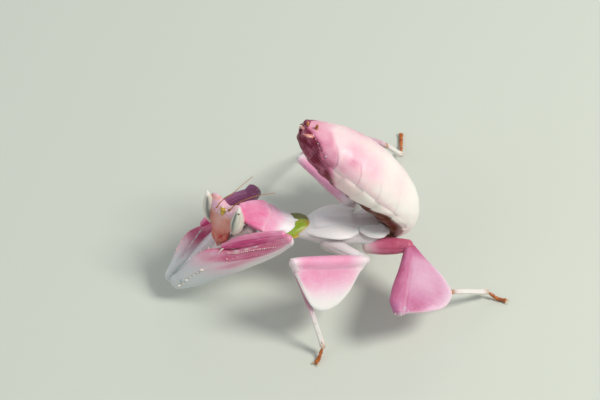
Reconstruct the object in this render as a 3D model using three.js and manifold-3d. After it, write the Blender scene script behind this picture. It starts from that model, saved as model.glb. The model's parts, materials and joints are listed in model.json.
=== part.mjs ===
// A standing orchid mantis nymph (Hymenopus coronatus), life size, in millimetres.
// +X points to the tail, +Y to the animal's right side, and +Z up.
// It rests on its four walking feet at Z = 0.
// The raptorial forelegs are folded together under the head and the abdomen is curled up over the back.
// "left" and "right" are the animal's own: its left side is -Y.

import * as THREE from "three";
import Module from "manifold-3d";

const wasm = await Module();
wasm.setup();

// Driving dimensions, mm.
const GAP = 0.14; // clearance left between two plates that meet
const CENTRE_X = -2.35; // middle of the whole model along X, moved to the origin
const CENTRE_Y = 4.27; // middle of the whole model along Y, moved to the origin

const PRONOTUM_HALF_WIDTH = 2.4; // across the lobes over the forelegs
const PRONOTUM_REAR_HALF_WIDTH = 1.9;
const THORAX_HALF_WIDTH = 2.25;
const THORAX_HALF_HEIGHT = 1.5;
const ABDOMEN_HALF_WIDTH = 4.2;
const ABDOMEN_HALF_DEPTH = 3.1;
const EYE_HALF_WIDTH = 0.66;
const EYE_HALF_DEPTH = 0.95;
const ANTENNA_RADIUS = 0.26;
const FORE_FEMUR_DORSAL = 1.6; // from the line of the femur out to its smooth edge
const FORE_FEMUR_VENTRAL = 2.5; // and out to its spined edge, where it is broadest
const FORE_FEMUR_HALF_THICKNESS = 0.62;
const FORE_TIBIA_HALF_WIDTH = 0.82;
const FORE_COXA_RADIUS = 0.68;
const MID_LOBE = 5.8; // reach of the petal lobe below the middle femur
const HIND_LOBE = 6.0; // reach of the petal lobe behind the hind femur
const LOBE_HALF_THICKNESS = 0.34;
const SHAFT_RADIUS = 0.62; // stem of a middle or hind femur
const TIBIA_RADIUS = 0.34;
const TARSUS_RADIUS = 0.33;
const FOOT_HEIGHT = 0.26; // centre of a foot above the floor, less than its radius so that it has a flat

// Colours and finish of each kind of surface: colour, roughness.
const FINISHES = {
  whiteCuticle: [0xe9e2e2, 0.55],
  pinkCuticle: [0xe58bb0, 0.5],
  palePink: [0xf0c3d2, 0.5],
  deepPink: [0xc8457f, 0.45],
  salmonFace: [0xd98f80, 0.5],
  greenCollar: [0x86a51f, 0.45],
  eyeWhite: [0xe6e4d8, 0.35],
  goldOcellus: [0xb08a28, 0.35],
  amberHorn: [0xb5651d, 0.5],
  crimsonTip: [0x9c2f55, 0.5],
};

const P = (x, y, z) => new THREE.Vector3(x, y, z);

// Value of a table of rows [position, size, size, ...] at one position, eased between rows.
function sizesAt(rows, position) {
  const columns = rows[0].length - 1;
  if (position <= rows[0][0]) return rows[0].slice(1);
  const last = rows[rows.length - 1];
  if (position >= last[0]) return last.slice(1);
  const i = rows.findIndex((row) => row[0] > position) - 1;
  const span = rows[i + 1][0] - rows[i][0];
  const u = (position - rows[i][0]) / span;
  const sizes = [];
  for (let c = 1; c <= columns; c++) {
    const slopeAt = (k) => {
      const before = rows[Math.max(k - 1, 0)];
      const after = rows[Math.min(k + 1, rows.length - 1)];
      return ((after[c] - before[c]) / (after[0] - before[0])) * span;
    };
    const a = rows[i][c];
    const b = rows[i + 1][c];
    const sa = slopeAt(i);
    const sb = slopeAt(i + 1);
    const h = (2 * u ** 3 - 3 * u ** 2 + 1) * a + (u ** 3 - 2 * u ** 2 + u) * sa;
    sizes.push(Math.max(h + (3 * u ** 2 - 2 * u ** 3) * b + (u ** 3 - u ** 2) * sb, 0.02));
  }
  return sizes;
}

// A closed solid swept along a path. Each row gives, at one share of the path, the half sizes of the section
// toward +side, toward -side, toward +normal and toward -normal. Rounded ends add a half dome of their own.
// A path may be a list of points, or a part of a longer curve given as its first and last share.
// A blade is the half thickness that a section keeps toward its +side edge, when it is thicker than
// that along its middle line.
function sweep({
  path, rows, side, span = [0, 1], sides = 12, steps = 10, round = [0.5, 0.5], blade = 0, grow = 0,
}) {
  const curve = path.isCurve ? path : new THREE.CatmullRomCurve3(path, false, "centripetal");
  const rings = [];
  const ringAt = (share, scale, push) => {
    const clamped = Math.min(Math.max(share, 0), 1);
    const onCurve = span[0] + (span[1] - span[0]) * clamped;
    const centre = curve.getPointAt(onCurve);
    const along = curve.getTangentAt(onCurve);
    const s = side.clone().addScaledVector(along, -side.dot(along)).normalize();
    const n = along.clone().cross(s);
    centre.addScaledVector(along, push);
    const [a, b, h, k] = sizesAt(rows, clamped).map((size) => (size + grow) * scale);
    const ring = [];
    for (let j = 0; j < sides; j++) {
      const angle = (2 * Math.PI * j) / sides;
      const c = Math.cos(angle);
      const d = Math.sin(angle);
      const full = d > 0 ? h : k;
      const thin = Math.min(full, (blade + grow) * scale);
      const half = blade && c > 0 ? thin + (full - thin) * Math.max(0, 1 - (c * a) / (1.6 * full)) : full;
      ring.push(centre.clone().addScaledVector(s, c * (c > 0 ? a : b)).addScaledVector(n, d * half));
    }
    rings.push(ring);
  };
  const dome = sides > 8 ? 2 : 1;
  const spread = dome + 0.45;
  for (let i = dome; i > 0 && round[0] > 0; i--) {
    const angle = (i / spread) * (Math.PI / 2);
    ringAt(0, Math.cos(angle), -Math.sin(angle) * (round[0] + grow));
  }
  for (let i = 0; i <= steps; i++) {
    const share = i / steps;
    const push = round[0] === 0 && i === 0 ? -grow : round[1] === 0 && i === steps ? grow : 0;
    ringAt(share, 1, push);
  }
  for (let i = 1; i <= dome && round[1] > 0; i++) {
    const angle = (i / spread) * (Math.PI / 2);
    ringAt(1, Math.cos(angle), Math.sin(angle) * (round[1] + grow));
  }
  return closed(rings);
}

// Skin over a list of rings of equal count, with a fan closing each end.
function closed(rings) {
  const points = rings.flat();
  const sides = rings[0].length;
  const middle = (ring) => ring.reduce((sum, p) => sum.add(p), P(0, 0, 0)).divideScalar(sides);
  const first = points.push(middle(rings[0])) - 1;
  const last = points.push(middle(rings[rings.length - 1])) - 1;
  const faces = [];
  for (let i = 0; i < rings.length - 1; i++) {
    for (let j = 0; j < sides; j++) {
      const a = i * sides + j;
      const b = i * sides + ((j + 1) % sides);
      faces.push(a, b, a + sides, b, b + sides, a + sides);
    }
  }
  const end = (rings.length - 1) * sides;
  for (let j = 0; j < sides; j++) {
    const next = (j + 1) % sides;
    faces.push(first, next, j);
    faces.push(last, end + j, end + next);
  }
  const solid = new wasm.Manifold(
    new wasm.Mesh({
      numProp: 3,
      vertProperties: new Float32Array(points.flatMap((p) => p.toArray())),
      triVerts: new Uint32Array(faces),
    }),
  );
  return solid;
}

// A stem of round section.
const stem = (path, radii, options = {}) =>
  sweep({
    path,
    rows: radii.map((r, i) => [i / (radii.length - 1), r, r, r, r]),
    side: P(0.31, 0.17, 1),
    sides: 8,
    steps: 4,
    round: [radii[0] * 0.8, radii[radii.length - 1] * 0.8],
    ...options,
  });

const shapes = new Map(); // name: the solid as a function of how far it is grown
const pieces = new THREE.Group();

// Adds one named piece: its own shape less the grown shapes of the pieces it makes room for.
function piece(name, finish, shape, roomFor = []) {
  shapes.set(name, shape);
  let solid = shape(0);
  for (const other of roomFor) solid = solid.subtract(shapes.get(other)(GAP));
  const bodies = solid.decompose();
  solid = bodies.reduce((best, body) => (body.volume() > best.volume() ? body : best));
  const { vertProperties, triVerts } = solid.getMesh();
  const geometry = new THREE.BufferGeometry();
  geometry.setAttribute("position", new THREE.BufferAttribute(vertProperties, 3));
  geometry.setIndex(new THREE.BufferAttribute(triVerts, 1));
  geometry.computeVertexNormals();
  const [color, roughness] = FINISHES[finish];
  const mesh = new THREE.Mesh(geometry, new THREE.MeshStandardMaterial({ color, roughness, metalness: 0 }));
  mesh.name = name;
  pieces.add(mesh);
}

// Head. It is turned to the animal's left, so it has axes of its own.
const HEAD_CENTRE = P(-15.34, 0.38, 12.37);
const HEAD_X = P(0.662, -0.745, 0.091); // toward its left eye
const HEAD_Y = P(0.144, 0.246, 0.958); // toward the vertex
const HEAD_Z = P(-0.736, -0.621, 0.27); // out of the face
const inHead = (x, y, z) =>
  HEAD_CENTRE.clone().addScaledVector(HEAD_X, x).addScaledVector(HEAD_Y, y).addScaledVector(HEAD_Z, z);

const EYE_ROWS = [
  [0, 0.3, 0.3, 0.45, 0.4],
  [0.2, 0.56, 0.56, 0.85, 0.7],
  [0.45, EYE_HALF_WIDTH, EYE_HALF_WIDTH, EYE_HALF_DEPTH, 0.8],
  [0.7, 0.55, 0.55, 0.74, 0.62],
  [0.88, 0.32, 0.32, 0.4, 0.36],
  [1, 0.14, 0.14, 0.16, 0.16],
];
for (const [name, hand] of [["eye_left", 1], ["eye_right", -1]]) {
  const path = [
    inHead(1.85 * hand, -2.35, -0.7),
    inHead(2.2 * hand, -0.4, -0.42),
    inHead(2.46 * hand, 1.55, -0.1),
  ];
  const rows = hand > 0 ? EYE_ROWS : EYE_ROWS.map(([t, a, b, h, k]) => [t, a, b, k, h]);
  const shape = (grow) => sweep({ path, rows, side: HEAD_X, sides: 10, steps: 7, round: [0.22, 0.16], grow });
  piece(name, "eyeWhite", shape);
}

const CREST = [inHead(0, -0.1, -0.5), inHead(0, 0.4, -0.02), inHead(0, 0.75, 0.25)];
piece("ocellar_crest", "goldOcellus", (grow) => stem(CREST, [0.5, 0.45, 0.2], { grow, steps: 3 }));

// Half sizes of the head from one cheek to the other: up, down, front, back.
const HEAD_ROWS = [
  [0, 1.65, 1.2, 0.35, 0.45],
  [0.12, 1.6, 1.9, 0.6, 0.8],
  [0.28, 1.25, 2.6, 0.75, 1.0],
  [0.4, 0.95, 3.4, 0.8, 1.1],
  [0.5, 0.85, 3.75, 0.82, 1.15],
  [0.6, 0.95, 3.4, 0.8, 1.1],
  [0.72, 1.25, 2.6, 0.75, 1.0],
  [0.88, 1.55, 1.9, 0.6, 0.8],
  [1, 1.3, 1.2, 0.35, 0.45],
];
const headShape = (grow) =>
  sweep({
    path: [inHead(-2.15, -0.25, -0.65), inHead(0, -0.25, -0.7), inHead(2.15, -0.25, -0.65)],
    rows: HEAD_ROWS,
    side: HEAD_Y.clone().addScaledVector(HEAD_Z, -0.22),
    steps: 10,
    round: [0.2, 0.2],
    grow,
  });
piece("head", "salmonFace", headShape, ["eye_left", "eye_right", "ocellar_crest"]);

piece(
  "mouthparts",
  "salmonFace",
  (grow) => stem([inHead(0, -3.1, -0.35), inHead(0, -4.25, 0.15)], [0.75, 0.45], { grow, steps: 3 }),
  ["head"],
);

// Feelers: each rises from its socket beside the crest and leans back over the pronotum.
const ANTENNAE = [
  {
    side: "left",
    socket: inHead(0.9, 0.5, -0.45),
    bend: [[-13.55, -0.95, 14.95], [-12.1, -1.35, 16.1], [-10.9, -1.8, 16.85], [-9.4, -2.3, 17.5]],
  },
  {
    side: "right",
    socket: inHead(-0.6, 0.4, -0.4),
    bend: [[-15.2, 0.25, 14.4], [-13.9, 0.15, 15.6], [-13.1, 0.25, 16.35], [-11.6, 0.75, 17.3]],
  },
];
for (const { side, socket, bend } of ANTENNAE) {
  const radii = [ANTENNA_RADIUS * 1.25, ANTENNA_RADIUS, ANTENNA_RADIUS, ANTENNA_RADIUS];
  const path = [socket, ...bend.map((p) => P(...p))];
  piece(
    `antenna_${side}`,
    "amberHorn",
    (grow) => stem(path, radii, { grow, sides: 6, steps: 5 }),
    ["head", "ocellar_crest", "eye_left", "eye_right"],
  );
}

// Prothorax: a roofed plate over a narrower body, with a green collar showing behind the plate.
const PRONOTUM_REAR = P(-6.5, 0.0, 9.45);
const PRONOTUM_FRONT = P(-13.0, 0.8, 11.62);
const pronotumShape = (grow) =>
  sweep({
    path: [PRONOTUM_FRONT, P(-9.8, 0.4, 10.62), PRONOTUM_REAR],
    rows: [
      [0, 1.3, 1.3, 0.55, 0.35],
      [0.12, 1.8, 1.8, 0.65, 0.35],
      [0.34, PRONOTUM_HALF_WIDTH, PRONOTUM_HALF_WIDTH, 0.8, 0.35],
      [0.53, 2.35, 2.2, 0.8, 0.35],
      [0.7, 1.95, 1.75, 0.75, 0.35],
      [0.88, 1.95, 1.85, 0.72, 0.35],
      [1, PRONOTUM_REAR_HALF_WIDTH, PRONOTUM_REAR_HALF_WIDTH, 0.65, 0.3],
    ],
    side: P(0, -1, 0),
    sides: 12,
    steps: 8,
    round: [0.3, 0.35],
    grow,
  });
piece("pronotum", "pinkCuticle", pronotumShape);

const collarShape = (grow) =>
  sweep({
    path: [P(-7.0, 0.25, 9.55), P(-5.9, 0.1, 9.2), P(-5.0, 0, 8.95)],
    rows: [
      [0, 1.6, 1.6, 0.55, 0.5],
      [0.6, 1.85, 1.85, 0.65, 0.6],
      [1, 1.7, 1.7, 0.6, 0.5],
    ],
    side: P(0, -1, 0),
    steps: 3,
    round: [0, 0.25],
    grow,
  });
piece("collar", "greenCollar", collarShape, ["pronotum"]);

const prothoraxShape = (grow) =>
  sweep({
    path: [P(-13.2, 1.1, 10.9), P(-9.6, 0.6, 9.7), P(-6.4, 0.1, 8.5)],
    rows: [
      [0, 0.85, 0.85, 0.7, 0.7],
      [0.25, 1.5, 1.5, 1.2, 1.0],
      [0.6, 1.45, 1.45, 1.2, 1.0],
      [1, 1.35, 1.35, 1.0, 1.0],
    ],
    side: P(0, -1, 0),
    sides: 10,
    steps: 5,
    round: [0.3, 0.3],
    grow,
  });
piece("prothorax", "palePink", prothoraxShape, ["pronotum", "collar", "head"]);

piece(
  "neck",
  "palePink",
  (grow) => stem([inHead(0, -0.9, -1.2), P(-13.3, 1.1, 10.9)], [0.75, 0.7], { grow, steps: 3 }),
  ["head", "prothorax", "pronotum"],
);

// Middle and rear thorax with the two pairs of wing pads.
const thoraxRow = (t, scale) => {
  const width = THORAX_HALF_WIDTH * scale;
  return [t, width, width, THORAX_HALF_HEIGHT * scale, THORAX_HALF_HEIGHT * scale];
};
const padShape = (hand, points, length) => (grow) =>
  sweep({
    path: points.map(([x, y, z]) => P(x, y * hand, z)),
    rows: [
      [0, 0.6, 0.6, 0.2, 0.2],
      [0.25, 1.1, 1.0, 0.24, 0.24],
      [0.6, length, 1.1, 0.24, 0.24],
      [0.85, length * 0.8, 0.9, 0.22, 0.22],
      [1, length * 0.35, 0.45, 0.2, 0.2],
    ],
    side: P(0, hand, -0.32),
    sides: 8,
    steps: 5,
    round: [0.2, 0.25],
    grow,
  });
const MESO_PAD = [[-4.6, 1.35, 9.6], [-2.5, 1.55, 9.4], [0.3, 1.75, 8.95]];
const META_PAD = [[0.8, 1.35, 8.75], [2.3, 1.45, 8.5], [4.0, 1.6, 8.15]];
for (const [side, hand] of [["left", -1], ["right", 1]]) {
  piece(`wing_pad_front_${side}`, "whiteCuticle", padShape(hand, MESO_PAD, 1.25));
  piece(`wing_pad_rear_${side}`, "whiteCuticle", padShape(hand, META_PAD, 1.05), [`wing_pad_front_${side}`]);
}
const PADS = ["wing_pad_front_left", "wing_pad_front_right", "wing_pad_rear_left", "wing_pad_rear_right"];
piece(
  "mesothorax",
  "whiteCuticle",
  (grow) =>
    sweep({
      path: [P(-5.0, 0, 8.4), P(-2.5, 0, 8.0), P(0.1, 0, 7.5)],
      rows: [thoraxRow(0, 0.72), thoraxRow(0.3, 0.98), thoraxRow(0.7, 1.02), thoraxRow(1, 0.98)],
      side: P(0, -1, 0),
      sides: 12,
      steps: 4,
      round: [0.3, 0],
      grow,
    }),
  [...PADS, "collar", "pronotum", "prothorax"],
);
piece(
  "metathorax",
  "whiteCuticle",
  (grow) =>
    sweep({
      path: [P(0.25, 0, 7.47), P(2.6, 0, 7.0), P(4.9, 0, 6.6)],
      rows: [thoraxRow(0, 0.98), thoraxRow(0.4, 1.0), thoraxRow(0.8, 0.86), thoraxRow(1, 0.7)],
      side: P(0, -1, 0),
      sides: 12,
      steps: 4,
      round: [0, 0.3],
      grow,
    }),
  [...PADS],
);

// Abdomen: overlapping rings along a line that rises from the thorax and curls forward over it.
const ABDOMEN_PATH = [
  [5.0, 0, 6.75], [5.65, 0.05, 8.9], [5.05, 0.35, 11.3], [2.85, 1.1, 14.45],
  [0, 2.1, 17.3], [-2.5, 3.0, 19.35], [-4.2, 3.65, 20.6], [-5.0, 3.95, 21.15],
].map((p) => P(...p));
const ABDOMEN_ROWS = [
  [0, 1.5, 1.5, 1.3, 1.3],
  [0.11, 2.5, 2.5, 2.2, 2.2],
  [0.23, 3.5, 3.5, 2.8, 2.8],
  [0.43, ABDOMEN_HALF_WIDTH, ABDOMEN_HALF_WIDTH, 3.4, ABDOMEN_HALF_DEPTH],
  [0.62, 4.1, 4.1, 3.7, 3.0],
  [0.8, 3.3, 3.3, 3.5, 2.35],
  [0.93, 2.2, 2.2, 2.75, 1.5],
  [1, 1.4, 1.4, 1.8, 0.95],
];
const ABDOMEN_CUTS = [0, 0.13, 0.27, 0.41, 0.55, 0.68, 0.79, 0.89, 1]; // shares of the line where a ring ends
const abdomenLine = new THREE.CatmullRomCurve3(ABDOMEN_PATH, false, "centripetal");
const abdomenCurve = Object.assign(abdomenLine, { isCurve: true });
const abdomenLength = abdomenCurve.getLength();
const abdomenSide = P(0.19, 0.97, -0.12);
for (let i = 0; i < ABDOMEN_CUTS.length - 1; i++) {
  const last = i === ABDOMEN_CUTS.length - 2;
  const from = ABDOMEN_CUTS[i] + (i ? GAP / 2 / abdomenLength : 0);
  const to = ABDOMEN_CUTS[i + 1] - (last ? 0 : GAP / 2 / abdomenLength);
  const rows = [0, 0.33, 0.66, 1].map((t) => {
    const sizes = sizesAt(ABDOMEN_ROWS, from + (to - from) * t);
    const swell = last ? 1 : 0.985 + 0.03 * t;
    return [t, ...sizes.map((size) => size * swell)];
  });
  const shape = (grow) =>
    sweep({
      path: abdomenCurve,
      span: [from, to],
      rows,
      side: abdomenSide,
      sides: 16,
      steps: 2,
      round: [0, last ? 0.3 : 0],
      grow,
    });
  const trims = i < 2 ? [i ? "abdomen_1" : "metathorax"] : [];
  piece(`abdomen_${i + 1}`, last ? "crimsonTip" : "palePink", shape, trims);
}
for (const [name, hand] of [["cercus_left", -1], ["cercus_right", 1]]) {
  const root = P(-4.35 - 0.4 * hand, 3.45 + 0.25 * hand, 21.3);
  const tip = P(-4.25 - 0.5 * hand, 3.3 + 0.3 * hand, 22.3 + 0.05 * hand);
  const horn = (grow) => stem([root, tip], [0.36, 0.28], { grow, steps: 3 });
  piece(name, "amberHorn", horn, ["abdomen_8", "abdomen_7"]);
}

// Forelegs: the coxa runs down and forward, and the broad femur folds back beside it to the knee, with the
// tibia shut along its spined edge. Points of the left leg, then of the right.
const FORELEGS = [
  {
    side: "left",
    shoulder: P(-12.1, -0.85, 10.1),
    coxaEnd: P(-18.9, -0.75, 4.2),
    trochanter: P(-20.19, -1.5, 3.44),
    knee: P(-8.36, -3.9, 11.11),
    spined: P(-0.422, 0.444, 0.791),
  },
  {
    side: "right",
    shoulder: P(-12.3, 2.35, 9.8),
    coxaEnd: P(-19.3, 0.75, 3.9),
    trochanter: P(-20.8, 0.45, 3.0),
    knee: P(-11.07, 5.0, 10.2),
    spined: P(-0.645, 0.189, 0.74),
  },
];
for (const leg of FORELEGS) {
  const line = leg.knee.clone().sub(leg.trochanter);
  const reach = line.length();
  const spined = leg.spined.clone().addScaledVector(line, -leg.spined.dot(line) / reach ** 2).normalize();
  const onLeg = (share, out, over = 0) => {
    const normal = line.clone().normalize().cross(spined);
    const onLine = leg.trochanter.clone().addScaledVector(line, share);
    return onLine.addScaledVector(spined, out).addScaledVector(normal, over);
  };
  const inward = leg.side === "left" ? -1 : 1; // which face of the femur the coxa lies against
  const T = FORE_FEMUR_HALF_THICKNESS;
  const femur = (grow) =>
    sweep({
      path: [onLeg(-0.06, 0), onLeg(0.5, 0), onLeg(1.02, 0)],
      rows: [
        [0, 1.0, 1.05, T * 0.75, T * 0.75],
        [0.08, 1.4, 1.35, T * 0.95, T * 0.95],
        [0.22, 2.2, 1.5, T, T],
        [0.35, FORE_FEMUR_VENTRAL, FORE_FEMUR_DORSAL, T * 1.05, T * 1.05],
        [0.44, 2.1, FORE_FEMUR_DORSAL, T * 1.05, T * 1.05],
        [0.54, 1.1, FORE_FEMUR_DORSAL, T * 1.05, T * 1.05],
        [0.7, 0.75, 1.55, T, T],
        [0.86, 0.7, 1.4, T * 0.95, T * 0.95],
        [1, 0.6, 0.95, T * 0.85, T * 0.85],
      ],
      side: spined,
      sides: 12,
      steps: 10,
      round: [0.95, 0.55],
      grow,
    });
  piece(`fore_femur_${leg.side}`, "pinkCuticle", femur);
  const tibia = (grow) =>
    sweep({
      path: [onLeg(1.0, 0.75), onLeg(0.8, 1.3), onLeg(0.6, 1.85), onLeg(0.45, 2.1)],
      rows: [
        [0, 0.55, 0.55, 0.5, 0.5],
        [0.3, FORE_TIBIA_HALF_WIDTH, 0.7, 0.5, 0.5],
        [0.65, FORE_TIBIA_HALF_WIDTH, 0.75, 0.46, 0.46],
        [1, 0.4, 0.4, 0.34, 0.34],
      ],
      side: spined,
      sides: 8,
      steps: 5,
      round: [0.4, 0.35],
      grow,
    });
  piece(`fore_tibia_${leg.side}`, "deepPink", tibia, [`fore_femur_${leg.side}`]);
  piece(
    `fore_tarsus_${leg.side}`,
    "palePink",
    (grow) =>
      stem(
        [onLeg(0.42, 1.75, 0.72 * inward), onLeg(0.28, 1.6, 0.98 * inward), onLeg(0.14, 1.3, 0.98 * inward)],
        [0.27, 0.26, 0.25],
        { grow, sides: 6, steps: 4 },
      ),
    [`fore_femur_${leg.side}`, `fore_tibia_${leg.side}`],
  );
}
const FORE_BLADES = ["left", "right"].flatMap((side) =>
  ["femur", "tibia", "tarsus"].map((segment) => `fore_${segment}_${side}`),
);
for (const leg of FORELEGS) {
  const mate = leg.side === "right" ? ["fore_coxa_left"] : [];
  piece(
    `fore_coxa_${leg.side}`,
    "palePink",
    (grow) =>
      stem(
        [leg.shoulder, leg.shoulder.clone().lerp(leg.coxaEnd, 0.5).add(P(-0.1, 0, 0.1)), leg.coxaEnd],
        [FORE_COXA_RADIUS * 1.25, FORE_COXA_RADIUS * 1.15, FORE_COXA_RADIUS * 0.9],
        { grow, steps: 4 },
      ),
    ["prothorax", "pronotum", "head", "neck", "mouthparts", ...FORE_BLADES, ...mate],
  );
}

const MID_COXA_RADII = [0.95, 0.85, 0.7, 0.6];
const HIND_COXA_RADII = [0.95, 1.0, 0.9, 0.7];

// Walking legs: hip, coxa end, knee, ankle, foot and the direction in which the femur's petal lobe hangs.
const WALKING_LEGS = [
  {
    name: "mid", side: "left", lobe: MID_LOBE,
    hip: P(-3.3, -1.75, 7.6), coxaEnd: P(0.9, -4.8, 7.15), knee: P(-8.1, -8.0, 11.8),
    ankle: P(-5.2, -12.2, 1.25), foot: P(-6.2, -13.65, 0),
    hang: P(-0.212, -0.577, -0.789), bow: P(0.15, 0.5, -0.55),
  },
  {
    name: "mid", side: "right", lobe: MID_LOBE,
    hip: P(-3.3, 1.75, 7.6), coxaEnd: P(0.7, 4.2, 7.3), knee: P(-4.4, 12.2, 7.4),
    ankle: P(-0.9, 20.1, 1.25), foot: P(-1.6, 22.2, 0),
    hang: P(0.236, 0.275, -0.932), bow: P(-0.3, 0.2, 0.1),
  },
  {
    name: "hind", side: "left", lobe: HIND_LOBE,
    hip: P(1.7, -1.75, 6.2), coxaEnd: P(6.2, -3.0, 6.85), knee: P(3.5, -12.6, 6.5),
    ankle: P(15.3, -6.4, 1.05), foot: P(17.35, -7.4, 0),
    hang: P(0.93, -0.27, -0.25), bow: P(0.2, 0.9, 0.45),
  },
  {
    name: "hind", side: "right", lobe: HIND_LOBE,
    hip: P(1.7, 1.7, 6.5), coxaEnd: P(6.2, 3.0, 6.95), knee: P(2.2, 11.3, 11.2),
    ankle: P(8.95, 17.1, 1.25), foot: P(9.7, 21.5, 0),
    hang: P(0.448, 0.57, -0.69), bow: P(0.2, 0.2, 0.3),
  },
];
// Outline of a lobe along the femur: share of its reach at each share of the femur.
// The second share is how far the stem edge stands out on the other side, of a full SHAFT_RADIUS.
const OUTLINES = {
  mid: [
    [0, 0.1, 0.8], [0.09, 0.31, 0.95], [0.2, 0.63, 1.05], [0.34, 0.89, 1.1], [0.51, 1, 1.1],
    [0.68, 0.92, 1.05], [0.82, 0.64, 1], [0.93, 0.32, 0.9], [1, 0.12, 0.75],
  ],
  hind: [
    [0, 0.17, 0.65], [0.12, 0.41, 0.75], [0.25, 0.71, 0.95], [0.39, 0.91, 1.2], [0.5, 1, 1.5],
    [0.64, 0.97, 1.85], [0.77, 0.83, 2], [0.88, 0.54, 2], [1, 0.13, 1.2],
  ],
};
const floorSlab = () =>
  closed(
    [-8, 0].map((z) => [[-60, -60], [60, -60], [60, 60], [-60, 60]].map(([x, y]) => P(x, y, z))),
  );

for (const leg of WALKING_LEGS) {
  const tag = `${leg.name}_%_${leg.side}`;
  const named = (segment) => tag.replace("%", segment);
  const femur = (grow) =>
    sweep({
      path: [leg.coxaEnd, leg.coxaEnd.clone().lerp(leg.knee, 0.5), leg.knee],
      rows: OUTLINES[leg.name].map(([t, out, rear]) => {
        const half = SHAFT_RADIUS * (0.85 + 0.2 * Math.sin(Math.PI * t));
        return [t, Math.max(out * leg.lobe, half), rear * SHAFT_RADIUS, half, half];
      }),
      side: leg.hang,
      sides: 12,
      steps: 9,
      blade: LOBE_HALF_THICKNESS,
      round: [0.35, 0.35],
      grow,
    });
  piece(named("femur"), "pinkCuticle", femur);
  const ahead = leg.name === "hind" ? [`mid_coxa_${leg.side}`, `mid_femur_${leg.side}`] : [];
  piece(
    named("coxa"),
    leg.name === "mid" ? "whiteCuticle" : "deepPink",
    (grow) =>
      stem([leg.hip, leg.coxaEnd], leg.name === "mid" ? MID_COXA_RADII : HIND_COXA_RADII, { grow }),
    [named("femur"), "mesothorax", "metathorax", "abdomen_1", "abdomen_2", ...PADS, ...ahead],
  );
  const kneeGap = leg.knee.clone().lerp(leg.ankle, 0.03);
  piece(
    named("tibia"),
    "whiteCuticle",
    (grow) =>
      stem(
        [kneeGap, leg.knee.clone().lerp(leg.ankle, 0.5).add(leg.bow), leg.ankle],
        [TIBIA_RADIUS * 1.25, TIBIA_RADIUS * 1.05, TIBIA_RADIUS, TIBIA_RADIUS],
        { grow, sides: 6, steps: 5 },
      ),
    [named("femur")],
  );
  const toeStart = leg.foot.clone().lerp(P(leg.ankle.x, leg.ankle.y, 0), 0.45).setZ(FOOT_HEIGHT + 0.05);
  const toeEnd = leg.foot.clone().setZ(FOOT_HEIGHT);
  piece(
    named("tarsus"),
    "amberHorn",
    (grow) =>
      stem(
        [leg.ankle, toeStart.clone().lerp(leg.ankle, 0.4).add(P(0, 0, 0.05)), toeStart, toeEnd],
        [TARSUS_RADIUS * 0.9, TARSUS_RADIUS * 0.9, TARSUS_RADIUS, TARSUS_RADIUS * 1.05],
        { grow, sides: 6, steps: 4, round: [0.1, 0.25] },
      ).subtract(floorSlab()),
    [named("tibia")],
  );
}

const root = new THREE.Group();
pieces.position.set(-CENTRE_X, -CENTRE_Y, 0);
root.add(pieces);

export default root;
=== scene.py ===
"""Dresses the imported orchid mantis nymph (Hymenopus coronatus) for display.

The animal stands on its four walking feet with its forelegs folded and its abdomen curled up over its back.
Every shape is worked out in millimetres on the animal's own axes: +X to the tail, +Y to its right side and
+Z up, with the floor at Z = 0. "left" and "right" are the animal's own, so its left side is -Y. A finished
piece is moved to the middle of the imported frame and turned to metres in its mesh, and its object stays at the
origin.
"""

import json
import logging
import math
from collections.abc import Callable, Mapping, Sequence
from dataclasses import dataclass, field, replace
from enum import Enum

import bpy
import numpy as np
from mathutils import Matrix, Vector

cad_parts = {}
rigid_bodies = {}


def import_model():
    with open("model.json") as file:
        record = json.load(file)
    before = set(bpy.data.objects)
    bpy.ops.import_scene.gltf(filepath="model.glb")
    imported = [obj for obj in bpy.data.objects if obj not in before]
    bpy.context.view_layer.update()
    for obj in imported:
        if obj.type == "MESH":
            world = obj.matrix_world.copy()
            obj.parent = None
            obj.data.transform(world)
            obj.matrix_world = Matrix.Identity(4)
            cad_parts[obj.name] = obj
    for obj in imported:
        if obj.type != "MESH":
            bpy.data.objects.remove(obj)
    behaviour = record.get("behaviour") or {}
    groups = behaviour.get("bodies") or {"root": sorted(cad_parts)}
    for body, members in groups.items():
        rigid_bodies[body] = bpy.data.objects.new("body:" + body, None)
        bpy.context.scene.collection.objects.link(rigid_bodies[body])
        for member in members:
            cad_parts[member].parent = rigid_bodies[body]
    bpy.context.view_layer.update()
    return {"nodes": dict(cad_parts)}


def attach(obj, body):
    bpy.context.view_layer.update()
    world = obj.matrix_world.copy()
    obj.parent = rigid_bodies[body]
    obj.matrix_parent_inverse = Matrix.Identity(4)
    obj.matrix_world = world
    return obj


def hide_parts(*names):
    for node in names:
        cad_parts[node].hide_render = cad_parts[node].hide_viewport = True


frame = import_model()
LOG = logging.getLogger("orchid_mantis")

Point = tuple[float, float, float]
Row = tuple[float, float, float, float, float]
Rows = Sequence[Sequence[float]]

METRE = 0.001  # one millimetre, in the scene's metres
MIDDLE = np.array((-2.35, 4.27, 0.0))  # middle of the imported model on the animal's own axes
BODY = "root"  # the one body of a still model
SURFACE_MAP = "Surface"  # UV map in millimetres along and round a skin
SKIN_INSET = 0.02  # how far a skin lies inside its solid
THINNEST = 0.02  # smallest reach of a skin from its line
CAP_RINGS = 7  # rings in the dome that closes an end
TINY = 1e-6  # stands in for a length of nothing where one divides
OTHER_FACE = 9.0  # added to a squared distance to rule out the wrong face of a skin
SEED = 7


class Mask(Enum):
    """What a number painted on a surface says."""

    FLUSH = "Flush"  # how strong the pink of the cuticle is
    STAIN = "Stain"  # how much of the finish's own dark colour shows: real dark marks on some pieces, painted shade on others
    PALE = "Pale"  # how much of the clear white edge shows, and on some pieces a painted highlight
    GRAIN = "Grain"  # how thickly pearly granules stand


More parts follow.
